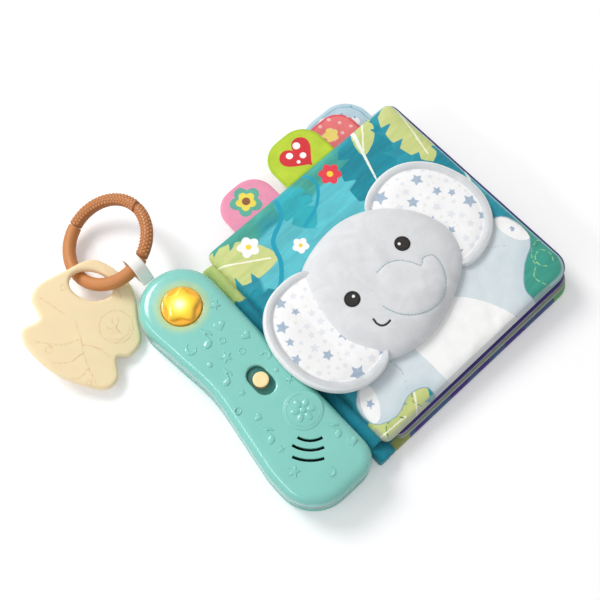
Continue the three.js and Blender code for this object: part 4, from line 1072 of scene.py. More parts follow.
back_print, tree, shader = woven("back_cover_print", colour(60, 48, 120))
patches = noise(tree, object_place(tree), 0.035, 1.5, Distortion=0.4)
night = node(tree, "ShaderNodeValToRGB", {"Fac": patches})
night.color_ramp.interpolation = "EASE"
steps = night.color_ramp.elements
steps[0].position, steps[0].color = 0.47, colour(72, 52, 132)
steps[1].position, steps[1].color = 0.53, colour(70, 96, 138)
dye(tree, shader, printed(tree, night.outputs["Color"], ("back_shapes", 0, colour(150, 160, 92)),
                          ("back_shapes", 1, colour(104, 172, 112))))
back_outline = rounded_sheet(6.3, -5.7, 173.75, 160.3, 5, 13)
back_cover, held = padded_cloth(
    "back_cover_pad", back_outline, 5.0,
    lambda p, d: 2.2 + 3.5 * rounded_rise(d, 7) + ripple(p, 60, 3, 0.06),
    lambda p, d: 1.6 - 1.55 * rounded_rise(d, 2.2), 1.9, back_print)
swollen(back_cover, held, 0.4, 0.5, spare=0.004)
flat = refined(back_cover, 1)
print_plate(back_cover, "back_shapes", flat[:, 0] - 26 - 6 * np.sin(flat[:, 1] / 17),
            signed_distance(flat, circle(172, -4, 17, 40)))
laid(back_cover, book_frame)
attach(back_cover, "module_and_back")
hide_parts("back_cover_outer_cloth", "back_cover_inner_cloth", "back_cover_padding",
            "back_cover_crinkle_film")


# Leaves: each is two printed cloths over a crinkle film, hemmed together, so that a pale hem
# line shows at the edge. Each side has a framed picture of hills, with a sun or with clouds.
def flower(points, x, y, radius, petals, turn=0.0):
    """Distance from a flower with round petals."""
    away = points - (x, y)
    angle = np.arctan2(away[:, 1], away[:, 0]) - math.radians(turn)
    return np.linalg.norm(away, axis=1) - radius * (0.7 + 0.3 * np.abs(np.cos(petals * angle / 2)))


def spots(points, places):
    return np.min([np.linalg.norm(points - (x, y), axis=1) - radius for x, y, radius in places], axis=0)


def page_print(piece, points, low, right):
    """Distances from the frame, the hills and the figures, which differ on the leaf's two sides."""
    upper = points_of(piece)[:, 2] > 0
    panel = signed_distance(points, rounded_sheet(18, low + 13, right - 12, low + 153, 12, 12, 12))
    x, y = points[:, 0], points[:, 1] - low
    hills = y - np.where(upper, 56 + 9 * np.sin(x / 21 + 0.6), 44 + 7 * np.sin(x / 15 + 2.4))
    sunny = np.min([spots(points, [(112, low + 122, 15)]), flower(points, 44, low + 42, 9, 5),
                    flower(points, 82, low + 32, 8, 5, 25), flower(points, 118, low + 40, 9, 5, 40)], axis=0)
    cloudy = spots(points - (0, low), [(44, 116, 10), (58, 121, 13), (73, 115, 10), (106, 98, 8),
                                       (117, 102, 10), (129, 97, 8), (50, 30, 5), (84, 26, 5), (118, 31, 5)])
    figures = np.where(upper, sunny, cloudy)
    print_plate(piece, "page", panel, np.maximum(hills, panel), np.maximum(figures, panel))


def leaf_finish(name, upper_ink, lower_ink, hem_ink, page_inks):
    finish, tree, shader = woven(name, upper_ink, crease=0.5)
    level = plate_value(tree, "hem", 0)
    ink = inked(tree, lower_ink, maths(tree, "SUBTRACT", 0.0, level), upper_ink, soft=0.08)
    width = maths(tree, "SUBTRACT", maths(tree, "ABSOLUTE", level), 0.3)
    ink = inked(tree, ink, width, hem_ink, soft=0.08)
    dye(tree, shader, printed(tree, ink, *[("page", channel, tint, 0.2)
                                           for channel, tint in enumerate(page_inks)]))
    return finish


# The grey-green grounds of leaf 1's lower side and leaf 2's upper side are painted shade: the dull colour of
# the shaded page edges, given to the whole cloth.
leaf_inks = {
    1: (colour(66, 52, 124), colour(140, 146, 138), colour(214, 216, 222),
        [colour(150, 208, 220), colour(122, 186, 104), colour(250, 222, 110)]),
    2: (colour(150, 158, 142), colour(72, 70, 128), colour(196, 198, 204),
        [colour(250, 232, 196), colour(238, 142, 130), colour(96, 178, 180)]),
}
leaf_frames = {}
for number in (1, 2):
    pivot_height, lean = {1: (10.4, -2.2), 2: (7.5, -1.1)}[number]
    leaf_frames[number] = (book_frame @ Matrix.Translation((13, 0, pivot_height))
                           @ Matrix.Rotation(math.radians(lean), 4, "Y"))
    low, right = -1.9 * number, 157.0 + 1.25 * number
    outline = rounded_sheet(3.0, low, right, low + 166, 5, 13)
    finish = leaf_finish(f"leaf_{number}_print", *leaf_inks[number])
    leaf, _ = padded_cloth(
        f"leaf_{number}_cloths", outline, 5.0,
        lambda p, d: 0.35 + 0.85 * rounded_rise(d, 3) + ripple(p, 45, 10 + number, 0.08),
        lambda p, d: -0.35 - 0.85 * rounded_rise(d, 3) + ripple(p, 45, 10 + number, 0.08), 0.0, finish)
    flat = refined(leaf, 1)
    print_plate(leaf, "hem", points_of(leaf)[:, 2] * 1000)
    page_print(leaf, flat, low, right)
    laid(leaf, leaf_frames[number])
    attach(leaf, f"leaf_{number}")
    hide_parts(f"leaf_{number}_front_cloth", f"leaf_{number}_back_cloth",
                f"leaf_{number}_crinkle_film")


# Front cover: a padded board in printed cotton, sewn to a plain lining round its edge. The print
# is a garden scene: leaves, a vine and flowers round the pale body that belongs to the plush head.
cover_frame = (book_frame @ Matrix.Translation((3, 0, 24))
               @ Matrix.Rotation(math.radians(-3.3), 4, "Y"))
cover_outline = rounded_sheet(3.0, 0.0, 167.0, 166.0, 5, 13, tab_radius=6)
cover_print, tree, shader = woven("cover_print", colour(20, 140, 160), roughness=0.62, crease=0.3)
flat_place = kept_on_cloth(tree, "flat")
ground = mixed(tree, noise(tree, flat_place, 0.03, 3.0), colour(24, 132, 158), colour(36, 166, 178))
ink = printed(tree, ground, ("garden", 0, colour(62, 163, 148), 6.0),
              ("garden", 1, colour(92, 196, 208), 1.2), ("garden", 2, colour(60, 158, 140), 2.5),
              ("shade_leaves", 0, colour(4, 140, 160), 0.3), ("shade_leaves", 1, colour(40, 176, 188), 0.3))
strokes = node(tree, "ShaderNodeMapping", {"Vector": flat_place, "Rotation": (0.0, 0.0, 0.9),
                                           "Scale": (0.035, 0.2, 1.0)}).outputs["Vector"]
brush = noise(tree, strokes, 1.0, 5.0, Distortion=0.8)
tone = ranged(tree, brush, 0.35, 0.68, 0.84, 1.12)
ink = scaled(tree, ink, tone)
leaf_shade = noise(tree, strokes, 0.8, 3.0, Distortion=1.0)
lime = mixed(tree, leaf_shade, colour(166, 200, 104), colour(232, 226, 160))
ink = printed(tree, ink, ("leaves", 0, lime))
rib_width = maths(tree, "SUBTRACT", maths(tree, "ABSOLUTE", plate_value(tree, "leaves", 1)), 0.55)
rib = maths(tree, "MAXIMUM", rib_width, plate_value(tree, "leaves", 2))
rib_inside = maths(tree, "MAXIMUM", rib, plate_value(tree, "leaves", 0))
ink = inked(tree, ink, rib_inside, colour(250, 248, 224))
ink = printed(tree, ink, ("vine", 0, colour(10, 158, 186)), ("vine", 1, colour(240, 248, 236), 0.15),
              ("dashes", 0, colour(150, 206, 150), 0.15), ("dashes", 1, colour(96, 140, 84), 0.15))
body_wash = noise(tree, flat_place, 0.05, 2.0)
body_ink = mixed(tree, body_wash, colour(208, 223, 230), colour(228, 235, 238))
rim_reach = ranged(tree, plate_value(tree, "body", 0), -9.0, 0.0, 0.0, 0.35)
body_ink = mixed(tree, rim_reach, body_ink, colour(170, 196, 210))
ink = printed(tree, ink, ("body", 0, body_ink))
body_line = maths(tree, "SUBTRACT", maths(tree, "ABSOLUTE", plate_value(tree, "body", 0)), 0.28)
ink = inked(tree, ink, body_line, colour(140, 168, 182), soft=0.15)
ink = printed(tree, ink, ("dashes", 2, colour(150, 176, 190), 0.12), ("body", 1, colour(252, 252, 252)),
              ("body", 2, colour(168, 186, 212)), ("flowers", 0, colour(252, 252, 250)),
              ("flowers", 1, colour(232, 62, 78)), ("flowers", 2, colour(250, 214, 60)))
# Painted shade: the print greys towards the cover's rounded near edge, where it turns away from the light.
painted_edge_shade = ranged(tree, plate_value(tree, "border", 0), 3.2, 2.6, 0.0, 0.55)
ink = mixed(tree, painted_edge_shade, ink, colour(180, 184, 190))
# Painted highlight: a pale line along the rounding of the fore edge.
dye(tree, shader, printed(tree, ink, ("border", 1, colour(176, 218, 226), 0.4)), change=0.03)

front_cover, held = padded_cloth(
    "front_cover_pad", cover_outline, 4.25,
    lambda p, d: -10.3 + 4.55 * rounded_rise(d, 8) + ripple(p, 42, 21, 0.12),
    lambda p, d: -10.9 - 0.2 * rounded_rise(d, 3), -10.55, cover_print, insets=(0.7, 2.0, 4.2))
swollen(front_cover, held, 0.5, 0.5, spare=0.006)
flat = refined(front_cover, 2) + (3.0, 0.0)


def leaf_plate(points, leaves):
    """Notched leaves with a midrib: distance from the leaf, side of the rib and distance along it."""
    best = np.full(len(points), 1e6)
    side = np.full(len(points), 1e3)
    reach = np.full(len(points), 1e3)
    for base, tip, width, notches in leaves:
        base, tip = np.array(base, float), np.array(tip, float)
        length = np.linalg.norm(tip - base)
        along = (tip - base) / length
        across = np.array([-along[1], along[0]])
        shape = []
        for sign in (-1, 1):
            half = [(share, width * math.sin(math.pi * min(1, share * 0.96 + 0.04)) ** 0.75)
                    for share in np.linspace(0, 1, 25)]
            for notch in range(notches):
                at = 6 + notch * 5
                if at < 24:
                    half[at] = (half[at][0] - 0.04, half[at][1] * 0.55)
            rows = [base + share * length * along + sign * spread * across for share, spread in half]
            shape += rows if sign < 0 else rows[::-1]
        nearest = signed_distance(points, np.array(shape))
        closer = nearest < best
        best = np.where(closer, nearest, best)
        side = np.where(closer, (points - base) @ across, side)
        run = (points - base) @ along
        reach = np.where(closer, np.maximum(-run, run - 0.9 * length), reach)
    return best, side, reach


tangle = 150 - 7 * np.sin(flat[:, 0] / 13) - 4 * np.sin(flat[:, 0] / 4.7 + 1)
thicket = np.maximum(tangle - flat[:, 1], flat[:, 0] - 118)
pond = signed_distance(flat, smooth_path([
    (30, 146), (52, 150), (76, 146), (96, 150), (118, 138), (132, 122), (126, 96), (80, 70), (30, 74),
    (14, 96), (20, 126)], 120))
meadow = np.maximum(132 - flat[:, 0] + 0.25 * flat[:, 1], flat[:, 1] - 46 + 8 * np.sin(flat[:, 0] / 9))
print_plate(front_cover, "garden", thicket, pond, meadow)
vine = smooth_path([(66, 170), (60, 152), (44, 142), (38, 128), (26, 116), (2, 110)], 60, closed=False)
tendril = smooth_path([(88, 170), (92, 154), (82, 142), (66, 136)], 30, closed=False)
rays = []
for start, end, width in [((136, 168), (120, 122), 1.1), ((171, 94), (150, 64), 1.0)]:
    start, end = np.array(start, float), np.array(end, float)
    run = end - start
    share = np.clip(((flat - start) @ run) / (run @ run), 0, 1)
    rays.append(np.linalg.norm(flat - start - share[:, None] * run, axis=1) - 0.4 - width * (1 - share))
print_plate(front_cover, "vine",
            np.minimum(distance_to(flat, vine, closed=False) - 1.5,
                       distance_to(flat, tendril, closed=False) - 1.1), np.min(rays, axis=0))


def dashed(points, path, dash=2.6, pause=1.8):
    """Distance from short dashes that follow a path."""
    run = run_along(path)
    nearest = np.full(len(points), 1e3)
    for begin in np.arange(0, run[-1] - dash, dash + pause):
        at = np.linspace(begin, begin + dash, 4)
        mark = np.stack([np.interp(at, run, path[:, k]) for k in range(2)], 1)
        nearest = np.minimum(nearest, distance_to(points, mark, closed=False))
    return nearest


def open_path(points, count):
    return smooth_path(points, count, closed=False)


pale_dashes = np.minimum(
    dashed(flat, arc(160, 17, 5.5, -60, 250, 40)),
    dashed(flat, open_path([(148, 4), (146, 12), (152, 17), (156, 24), (164, 28), (172, 26)], 60)))
dark_dashes = np.minimum(dashed(flat, open_path([(10, 2), (14, 8), (22, 8), (26, 2)], 40)),
                         dashed(flat, open_path([(38, 2), (36, 8), (42, 13), (50, 10)], 40)))
folds = np.minimum(distance_to(flat, open_path([(42, 40), (44, 26), (38, 14)], 30), closed=False),
                   distance_to(flat, open_path([(134, 62), (138, 48), (150, 38)], 30), closed=False))
print_plate(front_cover, "dashes", pale_dashes - 0.42, dark_dashes - 0.4, folds - 0.25)
shade_leaf, _, _ = leaf_plate(flat, [
    ((146, 172), (106, 108), 19, 4), ((178, 118), (142, 84), 15, 3), ((-4, 128), (26, 96), 13, 3)])
bright_leaf, _, _ = leaf_plate(flat, [((72, 172), (70, 130), 12, 3), ((178, 96), (158, 70), 8, 2)])
print_plate(front_cover, "shade_leaves", shade_leaf, bright_leaf)
# The border plate: the distance from the near edge, for the painted shade on its rounding, and a line along
# the fore edge's rounding, for a painted highlight.
edge_depth = distance_to(flat, cover_outline + (3.0, 0.0))
print_plate(front_cover, "border", np.where(flat[:, 1] < 12, edge_depth, 20.0),
            np.where(flat[:, 0] > 150, np.abs(edge_depth - 1.6) - 0.3, 20.0))
print_plate(front_cover, "leaves", *leaf_plate(flat, [
    ((-4, 160), (40, 132), 15, 3), ((174, 176), (158, 112), 17, 4), ((150, 172), (128, 146), 8, 2),
    ((-4, 6), (30, 4), 12, 3), ((28, -6), (48, 22), 9, 2),
]))
body = smooth_path([(50, 44), (34, 40), (18, 36), (8, 26), (10, 13), (22, 8), (38, 12), (48, 8), (50, -8),
                    (134, -8), (136, 10), (148, 22), (162, 30), (167, 42), (162, 54), (148, 60), (134, 64),
                    (122, 76), (90, 60)], 160)
belly = smooth_path([(62, 40), (60, 18), (64, -6), (118, -6), (116, 14), (104, 34), (86, 46)], 80)
pale_shapes, sole_stars = [signed_distance(flat, belly)], []
for x, y, lean, star, star_turn in [(160, 44, 14, 2.8, 40), (16, 24, -28, 3.4, 10)]:
    sole = turned(circle(0, 0, 1, 50) * (5.5, 12), lean) + (x, y)
    pale_shapes.append(signed_distance(flat, sole))
    sole_stars.append(signed_distance(flat, star_outline(star, 0.5, star_turn) + (x, y)))
print_plate(front_cover, "body", signed_distance(flat, body), np.min(pale_shapes, axis=0),
            np.min(sole_stars, axis=0))

white_flowers = np.minimum(flower(flat, 30, 150, 7.4, 5), flower(flat, 55, 128, 5.6, 5, 20))
red_flowers = flower(flat, 103, 152, 7.8, 6, 15)
flower_hearts = spots(flat, [(103, 152, 2.1), (30, 150, 1.9), (55, 128, 1.4)])
print_plate(front_cover, "flowers", white_flowers, red_flowers, flower_hearts)
laid(front_cover, cover_frame)
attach(front_cover, "front_cover")
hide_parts("front_cover_printed_cloth", "front_cover_padding", "front_cover_crinkle_film")

plum = colour(58, 50, 118)
lining_finish, tree, shader = woven("lining_plum", plum, crease=0.5)
dye(tree, shader, printed(tree, plum, ("dots", 0, colour(98, 92, 160), 0.3)))
lining_outline = cover_outline + np.stack([np.clip((cover_outline[:, 0] - 150) / 17, 0, 1) * 1.9,
                                           np.zeros(len(cover_outline))], 1)
lining, _ = padded_cloth(
    "front_cover_lining_cloth", lining_outline, 6.0,
    lambda p, d: -11.45 + 0.25 * rounded_rise(d, 2) + ripple(p, 50, 31, 0.03),
    lambda p, d: -11.7 - 0.25 * rounded_rise(d, 2) + ripple(p, 50, 31, 0.03), -11.6, lining_finish)
flat = refined(lining, 1)
print_plate(lining, "dots", spots(flat, [(12 + 16 * i + 8 * (j % 2), 12 + 13 * j, 2.6)
                                         for i in range(10) for j in range(12)]))
laid(lining, cover_frame)
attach(lining, "front_cover")
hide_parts("front_cover_lining")


# Spine: a roll of dark cloth beside the module. Its hem is clamped inside the case, and it carries
# the covers and the leaves on hinge strips of the same cloth, sewn along its crest.
def swept(name, profile, low, high, finish, seed=0, wave=0.12):
    """A closed profile in x and z, carried along y and drawn in at both ends, in book millimetres."""
    middle = profile.mean(0)
    steps = np.concatenate([[low, low + 0.4, low + 1.4], np.arange(low + 4, high - 3, 3.0),
                            [high - 1.4, high - 0.4, high]])
    around = run_along(profile)
    skin, loops, flat = Skin(), [], []
    sway = ripple(np.column_stack([steps, steps * 0]), 30, seed, wave)
    for y, shift in zip(steps, sway):
        close = 0.75 + 0.25 * float(rounded_rise(np.array(min(y - low, high - y)), 1.6))
        loop = middle + (profile - middle) * close
        loops.append(skin.add(np.column_stack([loop[:, 0], np.full(len(loop), y),
                                               loop[:, 1] + shift * close])))
        flat.append(np.column_stack([around, np.full(len(loop), y)]))
    skin.stack(loops, closed=True)
    flat += [[(0.0, low)], [(0.0, high)]]
    piece = skin.mesh(name, book_frame, [finish], sharp=50)
    keep_flat(piece, np.vstack(flat))
    outward(piece)
    return piece


def strip_profile(path, thickness, step=0.7):
    """The closed profile of a cloth strip that follows a path in x and z."""
    line = smooth_path(path, max(6, int(run_along(path)[-1] / step)), closed=False)
    along = np.gradient(line, axis=0)
    along /= np.linalg.norm(along, axis=1)[:, None]
    side = np.stack([-along[:, 1], along[:, 0]], 1) * thickness / 2
    tip = along[-1] * thickness * 0.35
    tail = along[0] * thickness * 0.35
    return np.vstack([line + side, [line[-1] + tip], (line - side)[::-1], [line[0] - tail]])


spine_teal = colour(16, 136, 158)
spine_cloth, tree, shader = woven("spine_cloth_teal", spine_teal, crease=0.7, pitch=0.7)
flat_place = kept_on_cloth(tree, "flat")
edge = maths(tree, "MULTIPLY_ADD", noise(tree, flat_place, 0.16, 1.0), 24.0, 116.0)
past = maths(tree, "SUBTRACT", edge, parts(tree, flat_place)[1])
dye(tree, shader, inked(tree, spine_teal, past, colour(186, 206, 124), soft=0.4), change=0.1)
roll_profile = smooth_path([
    (-1.75, 1.4), (-1.2, 0.3), (2.0, 0.26), (5.2, 0.3), (6.0, 1.0), (6.05, 3.5), (6.1, 5.8), (7.4, 6.25),
    (10.2, 6.15), (11.1, 6.7), (10.2, 7.9), (7.8, 9.6), (5.0, 11.6), (2.6, 12.4), (0.2, 12.3), (-1.5, 11.3),
    (-1.8, 8.0), (-1.8, 4.5)], 64)
spine_roll = swept("spine_roll", roll_profile, -5.7, 160.3, spine_cloth, seed=41)
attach(spine_roll, "module_and_back")
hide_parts("spine_wrap")

hinge_paths = {
    "front_cover": (0.0, [(-0.8, 11.6), (0.1, 14.0), (2.2, 16.0), (4.4, 16.8), (6.2, 15.8), (7.2, 13.7)]),
    "leaf_1": (-1.9, [(8.6, 9.2), (11.0, 9.0), (13.4, 9.9), (16.4, 10.5)]),
    "leaf_2": (-3.8, [(9.4, 7.0), (11.4, 6.9), (13.6, 7.2), (16.4, 7.55)]),
}
for body, (shift, path) in hinge_paths.items():
    strip = swept(body + "_hinge_cloth", strip_profile(np.array(path), 0.8), shift + 4.0, shift + 158.0,
                  spine_cloth, seed=42, wave=0.05)
    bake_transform(strip)


# Tabs: four small rounded flaps of printed cotton, one sewn into the edge of each cover and leaf.
# Each is lightly filled and carries its own small picture.
def picture_finish(name, base, inks):
    finish, tree, shader = woven(name, base, roughness=0.6, crease=0.3)
    dye(tree, shader, printed(tree, base, *inks), change=0.07)
    return finish


def tab_outline(left, edge, width, reach, corner):
    low, high, right = edge - 1.4, edge + reach, left + width
    return even_loop(np.vstack([
        [(left, low)], [(right, low)], arc(right - corner, high - corner, corner, 0, 90, 18),
        arc(left + corner, high - corner, corner, 90, 180, 18)]), 2.6)


def tab_pad(name, outline, finish, frame, middle, body, cad_node):
    tab, _ = padded_cloth(
        name, outline, 2.8,
        lambda p, d: middle + 0.25 + 0.55 * rounded_rise(d, 2.5) + ripple(p, 22, 51, 0.1),
        lambda p, d: middle - 0.25 - 0.5 * rounded_rise(d, 2.5) + ripple(p, 22, 51, 0.1), middle, finish,
        insets=(0.6, 1.7))
    flat = refined(tab, 2)
    laid(tab, frame)
    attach(tab, body)
    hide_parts(cad_node)
    return tab, flat


lime_print = picture_finish("tab_print_lime", colour(188, 212, 52),
                            [("sprig", 0, colour(172, 204, 40)), ("sprig", 1, colour(214, 42, 52)),
                             ("sprig", 2, colour(252, 250, 246))])
green_outline = tab_outline(74, 166, 43, 30, 17)
green_tab, flat = tab_pad("green_tab_pad", green_outline, lime_print, cover_frame, -10.5,
                          "front_cover", "green_tab")
heart = signed_distance(flat, 12.5 * heart_outline(1.0, 8) + (96, 179))
print_plate(green_tab, "sprig", distance_to(flat, green_outline) - 2.0, heart,
            spots(flat, [(91.0, 182, 2.4), (99.6, 184.6, 2.6), (98.0, 176.2, 2.2), (92.6, 174.6, 1.3)]))

pink_print = picture_finish("tab_print_pink", colour(240, 152, 182),
                            [("bloom", 0, colour(96, 178, 158)), ("bloom", 1, colour(244, 224, 88)),
                             ("bloom", 2, colour(150, 92, 60))])
pink_tab, flat = tab_pad("pink_tab_pad", tab_outline(20, 164.1, 40, 28.5, 16), pink_print, leaf_frames[1],
                         0.0, "leaf_1", "pink_tab")
print_plate(pink_tab, "bloom", flower(flat, 40, 179, 11.2, 5, 10), flower(flat, 40, 179, 7.0, 5, 10),
            spots(flat, [(40, 179, 2.8)]))

red_print = picture_finish("tab_print_red", colour(238, 122, 124),
                           [("dots", 0, colour(222, 92, 100)), ("dots", 1, colour(250, 196, 190)),
                            ("dots", 2, colour(250, 226, 120))])
red_outline = tab_outline(97, 162.2, 40, 30, 15)
red_tab, flat = tab_pad("red_tab_pad", red_outline, red_print, leaf_frames[2], 0.0,
                        "leaf_2", "red_tab")
print_plate(red_tab, "dots", distance_to(flat, red_outline) - 2.2,
            spots(flat, [(104 + 8 * i + 4 * (j % 2), 168 + 7 * j, 1.3) for i in range(5) for j in range(4)]),
            flower(flat, 117, 179, 5.6, 5))

sky_print = picture_finish("tab_print_blue", colour(192, 220, 232),
                           [("clouds", 0, colour(160, 200, 220)), ("clouds", 1, colour(246, 250, 252)),
                            ("clouds", 2, colour(120, 176, 204))])
blue_outline = tab_outline(112, 160.3, 54, 40, 20)
blue_tab, flat = tab_pad("blue_tab_pad", blue_outline, sky_print, book_frame, 0.95,
                         "module_and_back", "blue_tab")
print_plate(blue_tab, "clouds", np.abs(distance_to(flat, blue_outline) - 3.5) - 0.6,
            spots(flat, [(132, 190, 4.2), (137, 192, 5.0), (142.5, 190, 4.0), (150, 178, 3.0),
                         (154, 179.5, 3.4), (124, 177, 2.6), (128, 178.4, 3.0)]),
            spots(flat, [(120 + 9 * i + 4 * (j % 2), 166 + 8 * j, 0.9) for i in range(5) for j in range(4)]))


# Elephant head: a stuffed dome of short grey plush, sewn to the front cover round its edge. The
# trunk's outline is quilted through it, and the smile and the eyes are embroidered.
def plush(name, base, pile=0.5, sheen=0.6):
    finish, tree, shader = new_finish(name, base, 0.9, Sheen_Weight=sheen, Sheen_Roughness=0.35,
                                      Specular_IOR_Level=0.15)
    place = object_place(tree)
    brushed = noise(tree, place, 0.055, 3.0, Distortion=1.2)
    level = ranged(tree, brushed, 0.35, 0.65, 0.95, 1.04)
    fibres = noise(tree, place, 1.7, 4.0, Roughness=0.7)
    fleck = ranged(tree, fibres, 0.3, 0.7, 0.94, 1.05)
    shade = scaled(tree, base[:3], maths(tree, "MULTIPLY", level, fleck))
    feed(shader, Base_Color=shade, Normal=relief(tree, fibres, pile, 0.0004))
    return finish, tree, shader, shade


head_middle = np.array([75.0, 75.5])
head_corners = [
    (-0.97, 0.22), (-0.77, 0.76), (-0.35, 0.98), (0.16, 1), (0.57, 0.78), (0.88, 0.37), (1, -0.09),
    (0.87, -0.5), (0.61, -0.74), (0.02, -0.99), (-0.46, -0.985), (-0.78, -0.79), (-0.99, -0.4),
]
head_outline = even_loop(
    smooth_path([head_middle + (52 * x, 45.5 * y) for x, y in head_corners], 400)[::-1], 3.0)


def reach_share(points, outline, middle):
    """How far out points lie between a middle, 0, and an outline round it, 1."""
    edge = outline - middle
    turns = np.arctan2(edge[:, 1], edge[:, 0])
    order = np.argsort(turns)
    radius = np.interp(np.arctan2(*(points - middle).T[::-1]), turns[order],
                       np.linalg.norm(edge, axis=1)[order], period=2 * np.pi)
    return np.linalg.norm(points - middle, axis=1) / radius


def dome(points, depth):
    share = np.minimum(reach_share(points, head_outline, head_middle), 1)
    return -3.9 + 13.5 * np.sqrt(np.clip(1 - share ** 3, 0, 1))


head_plush, _, _, _ = plush("head_plush", colour(226, 228, 231))
head, held = padded_cloth("head_dome", head_outline, 3.6, dome, lambda p, d: np.full(len(p), -5.1), -4.7,
                          head_plush, insets=(0.5, 1.4, 3.2))
swollen(head, held, 0.6, 0.8, spare=0.01)
flat = refined(head, 2)
trunk_line = smooth_path([(x - 3, y) for x, y in [
    (74, 78.2), (81.9, 78), (88.4, 74.8), (93.2, 68.5), (96.5, 62.9), (99.6, 65.4), (101.9, 65.4),
    (106.5, 62.8), (105.5, 53.2), (99.1, 44.2), (93.2, 40.4), (85.4, 39.2), (75, 41.5), (66.8, 47.5),
    (61.8, 56.4), (60.7, 61.8)]], 160, closed=False)
smile_line = smooth_path([(48.2, 58.3), (47.8, 54.8), (49.1, 51.9), (52, 50.6), (55.1, 50.7)], 60,
                         closed=False)
points = points_of(head)
upper = np.clip((points[:, 2] * 1000 + 4.2) / 3, 0, 1)
trunk_depth = distance_to(flat, trunk_line, closed=False)
trunk_side = signed_distance(flat, trunk_line)
puff = 0.25 * np.clip(-trunk_side / 8, 0, 1) ** 0.6
tuck = 0.3 * np.exp(-(trunk_depth / 0.9) ** 2) + 0.15 * np.exp(-trunk_depth / 3.0)
tuck += 0.3 * np.exp(-(distance_to(flat, smile_line, closed=False) / 1.0) ** 2)
points[:, 2] += 0.001 * upper * (puff - tuck + ripple(flat, 26, 61, 0.12))
set_points(head, points)
head_tree = BVHTree.FromPolygons([Vector(p) for p in points * 1000],
                                 [tuple(f.vertices) for f in head.data.polygons])


def on_head(x, y):
    """The place and the outward direction on the head above a point of the cover."""
    place, normal, _, _ = head_tree.ray_cast(Vector((x, y, 60)), Vector((0, 0, -1)))
    return place, normal


laid(head, cover_frame)
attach(head, "front_cover")
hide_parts("head_face", "head_stuffing")


# Eyes: two embroidered discs of dark thread, raised a little above the plush and sewn through it.
# The white glint on each is a painted highlight.
def skin_height(points):
    return np.array([on_head(x, y)[0].z for x, y in points])


eye_radius = 5.15
eye_places = {"left_eye": (47.44, 75.96, 1.5, 0.5), "right_eye": (94.76, 80.96, -1.85, 0.9)}
for eye_name, (x, y, glint_x, glint_y) in eye_places.items():
    eye_finish, tree, shader = new_finish(eye_name + "_thread", colour(34, 26, 22), 0.45,
                                          Sheen_Weight=0.05, Specular_IOR_Level=0.3)
    rows = threads(tree, parts(tree, kept_on_cloth(tree, "flat"))[1], 0.42)
    height = maths(tree, "ADD", rows, noise(tree, object_place(tree), 0.9, 3.0))
    # The glint plate's first channel is the painted highlight, a white spot on the thread.
    ink = printed(tree, colour(36, 28, 24), ("glint", 1, colour(8, 6, 7), 0.5),
                  ("glint", 0, colour(255, 255, 255), 0.1))
    feed(shader, Base_Color=ink, Normal=relief(tree, height, 0.5, 0.00012))
    eye, _ = padded_cloth(
        eye_name + "_patch", even_loop(circle(x, y, eye_radius, 64), 0.8), 0.9,
        lambda p, d: skin_height(p) + 0.3 + 0.6 * rounded_rise(d, 2.2), lambda p, d: skin_height(p) - 0.4,
        lambda p, d: skin_height(p), eye_finish, insets=(0.3, 0.8))
    flat = refined(eye, 1)
    print_plate(eye, "glint", np.linalg.norm(flat - (x + glint_x, y + glint_y), axis=1) - 0.95,
                3.7 - np.linalg.norm(flat - (x, y), axis=1))
    laid(eye, cover_frame)
    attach(eye, "front_cover")
    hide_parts(eye_name)


# Embroidery on the head: the trunk's outline in pale thread, one long stitch after another, and
# the smile in close black satin stitches across its line.
def stitch_pattern(name, length, radius, finish):
    """One stitch of thread along X that dips into the cloth at both ends."""
    skin = Skin()
    loops = []
    for share, size, drop in [(-0.5, 0.45, 0.8), (-0.32, 0.95, 0.1), (0.0, 1.0, 0.0), (0.32, 0.95, 0.1),
                              (0.5, 0.45, 0.8)]:
        ring = circle(0, 0, radius * size, 6)
        loops.append(skin.add(np.column_stack([np.full(6, share * length), ring[:, 0],
                                               ring[:, 1] - drop * radius])))
    skin.stack(loops, closed=True)
    piece = skin.mesh(name, Matrix.Scale(0.001, 4), [finish], sharp=180)
    outward(piece)
    return piece


def thread(name, base):
    finish, tree, shader = new_finish(name, base, 0.55, Sheen_Weight=0.25)
    place = object_place(tree)
    feed(shader, Base_Color=varied(tree, place, base, 0.06, 0.8),
         Normal=relief(tree, noise(tree, place, 3.0, 2.0), 0.4, 0.0001))
    return finish


def stitched(name, line, spacing, across, lift, pattern, finish, surface, frame):
    """Stitches along a line on a surface, turned across it by an angle."""
    count = max(3, int(round(run_along(line)[-1] / spacing)) + 1)
    way = smooth_path(line[::max(1, len(line) // 40)], count, closed=False)
    ahead = np.gradient(way, axis=0)
    turn = frame.to_3x3().normalized()
    places, turns = [], []
    for (x, y), (run_x, run_y) in zip(way, ahead):
        place, normal = surface(x, y)
        forward = Vector((run_x, run_y, 0)).normalized()
        forward.rotate(Matrix.Rotation(math.radians(across), 3, "Z"))
        side = normal.cross(forward).normalized()
        basis = turn @ Matrix([side.cross(normal), side, normal]).transposed()
        places.append(frame @ (place + lift * normal))
        turns.append(tuple(basis.to_euler()))
    return place_copies(name, places, turns, pattern, 1.0, finish)


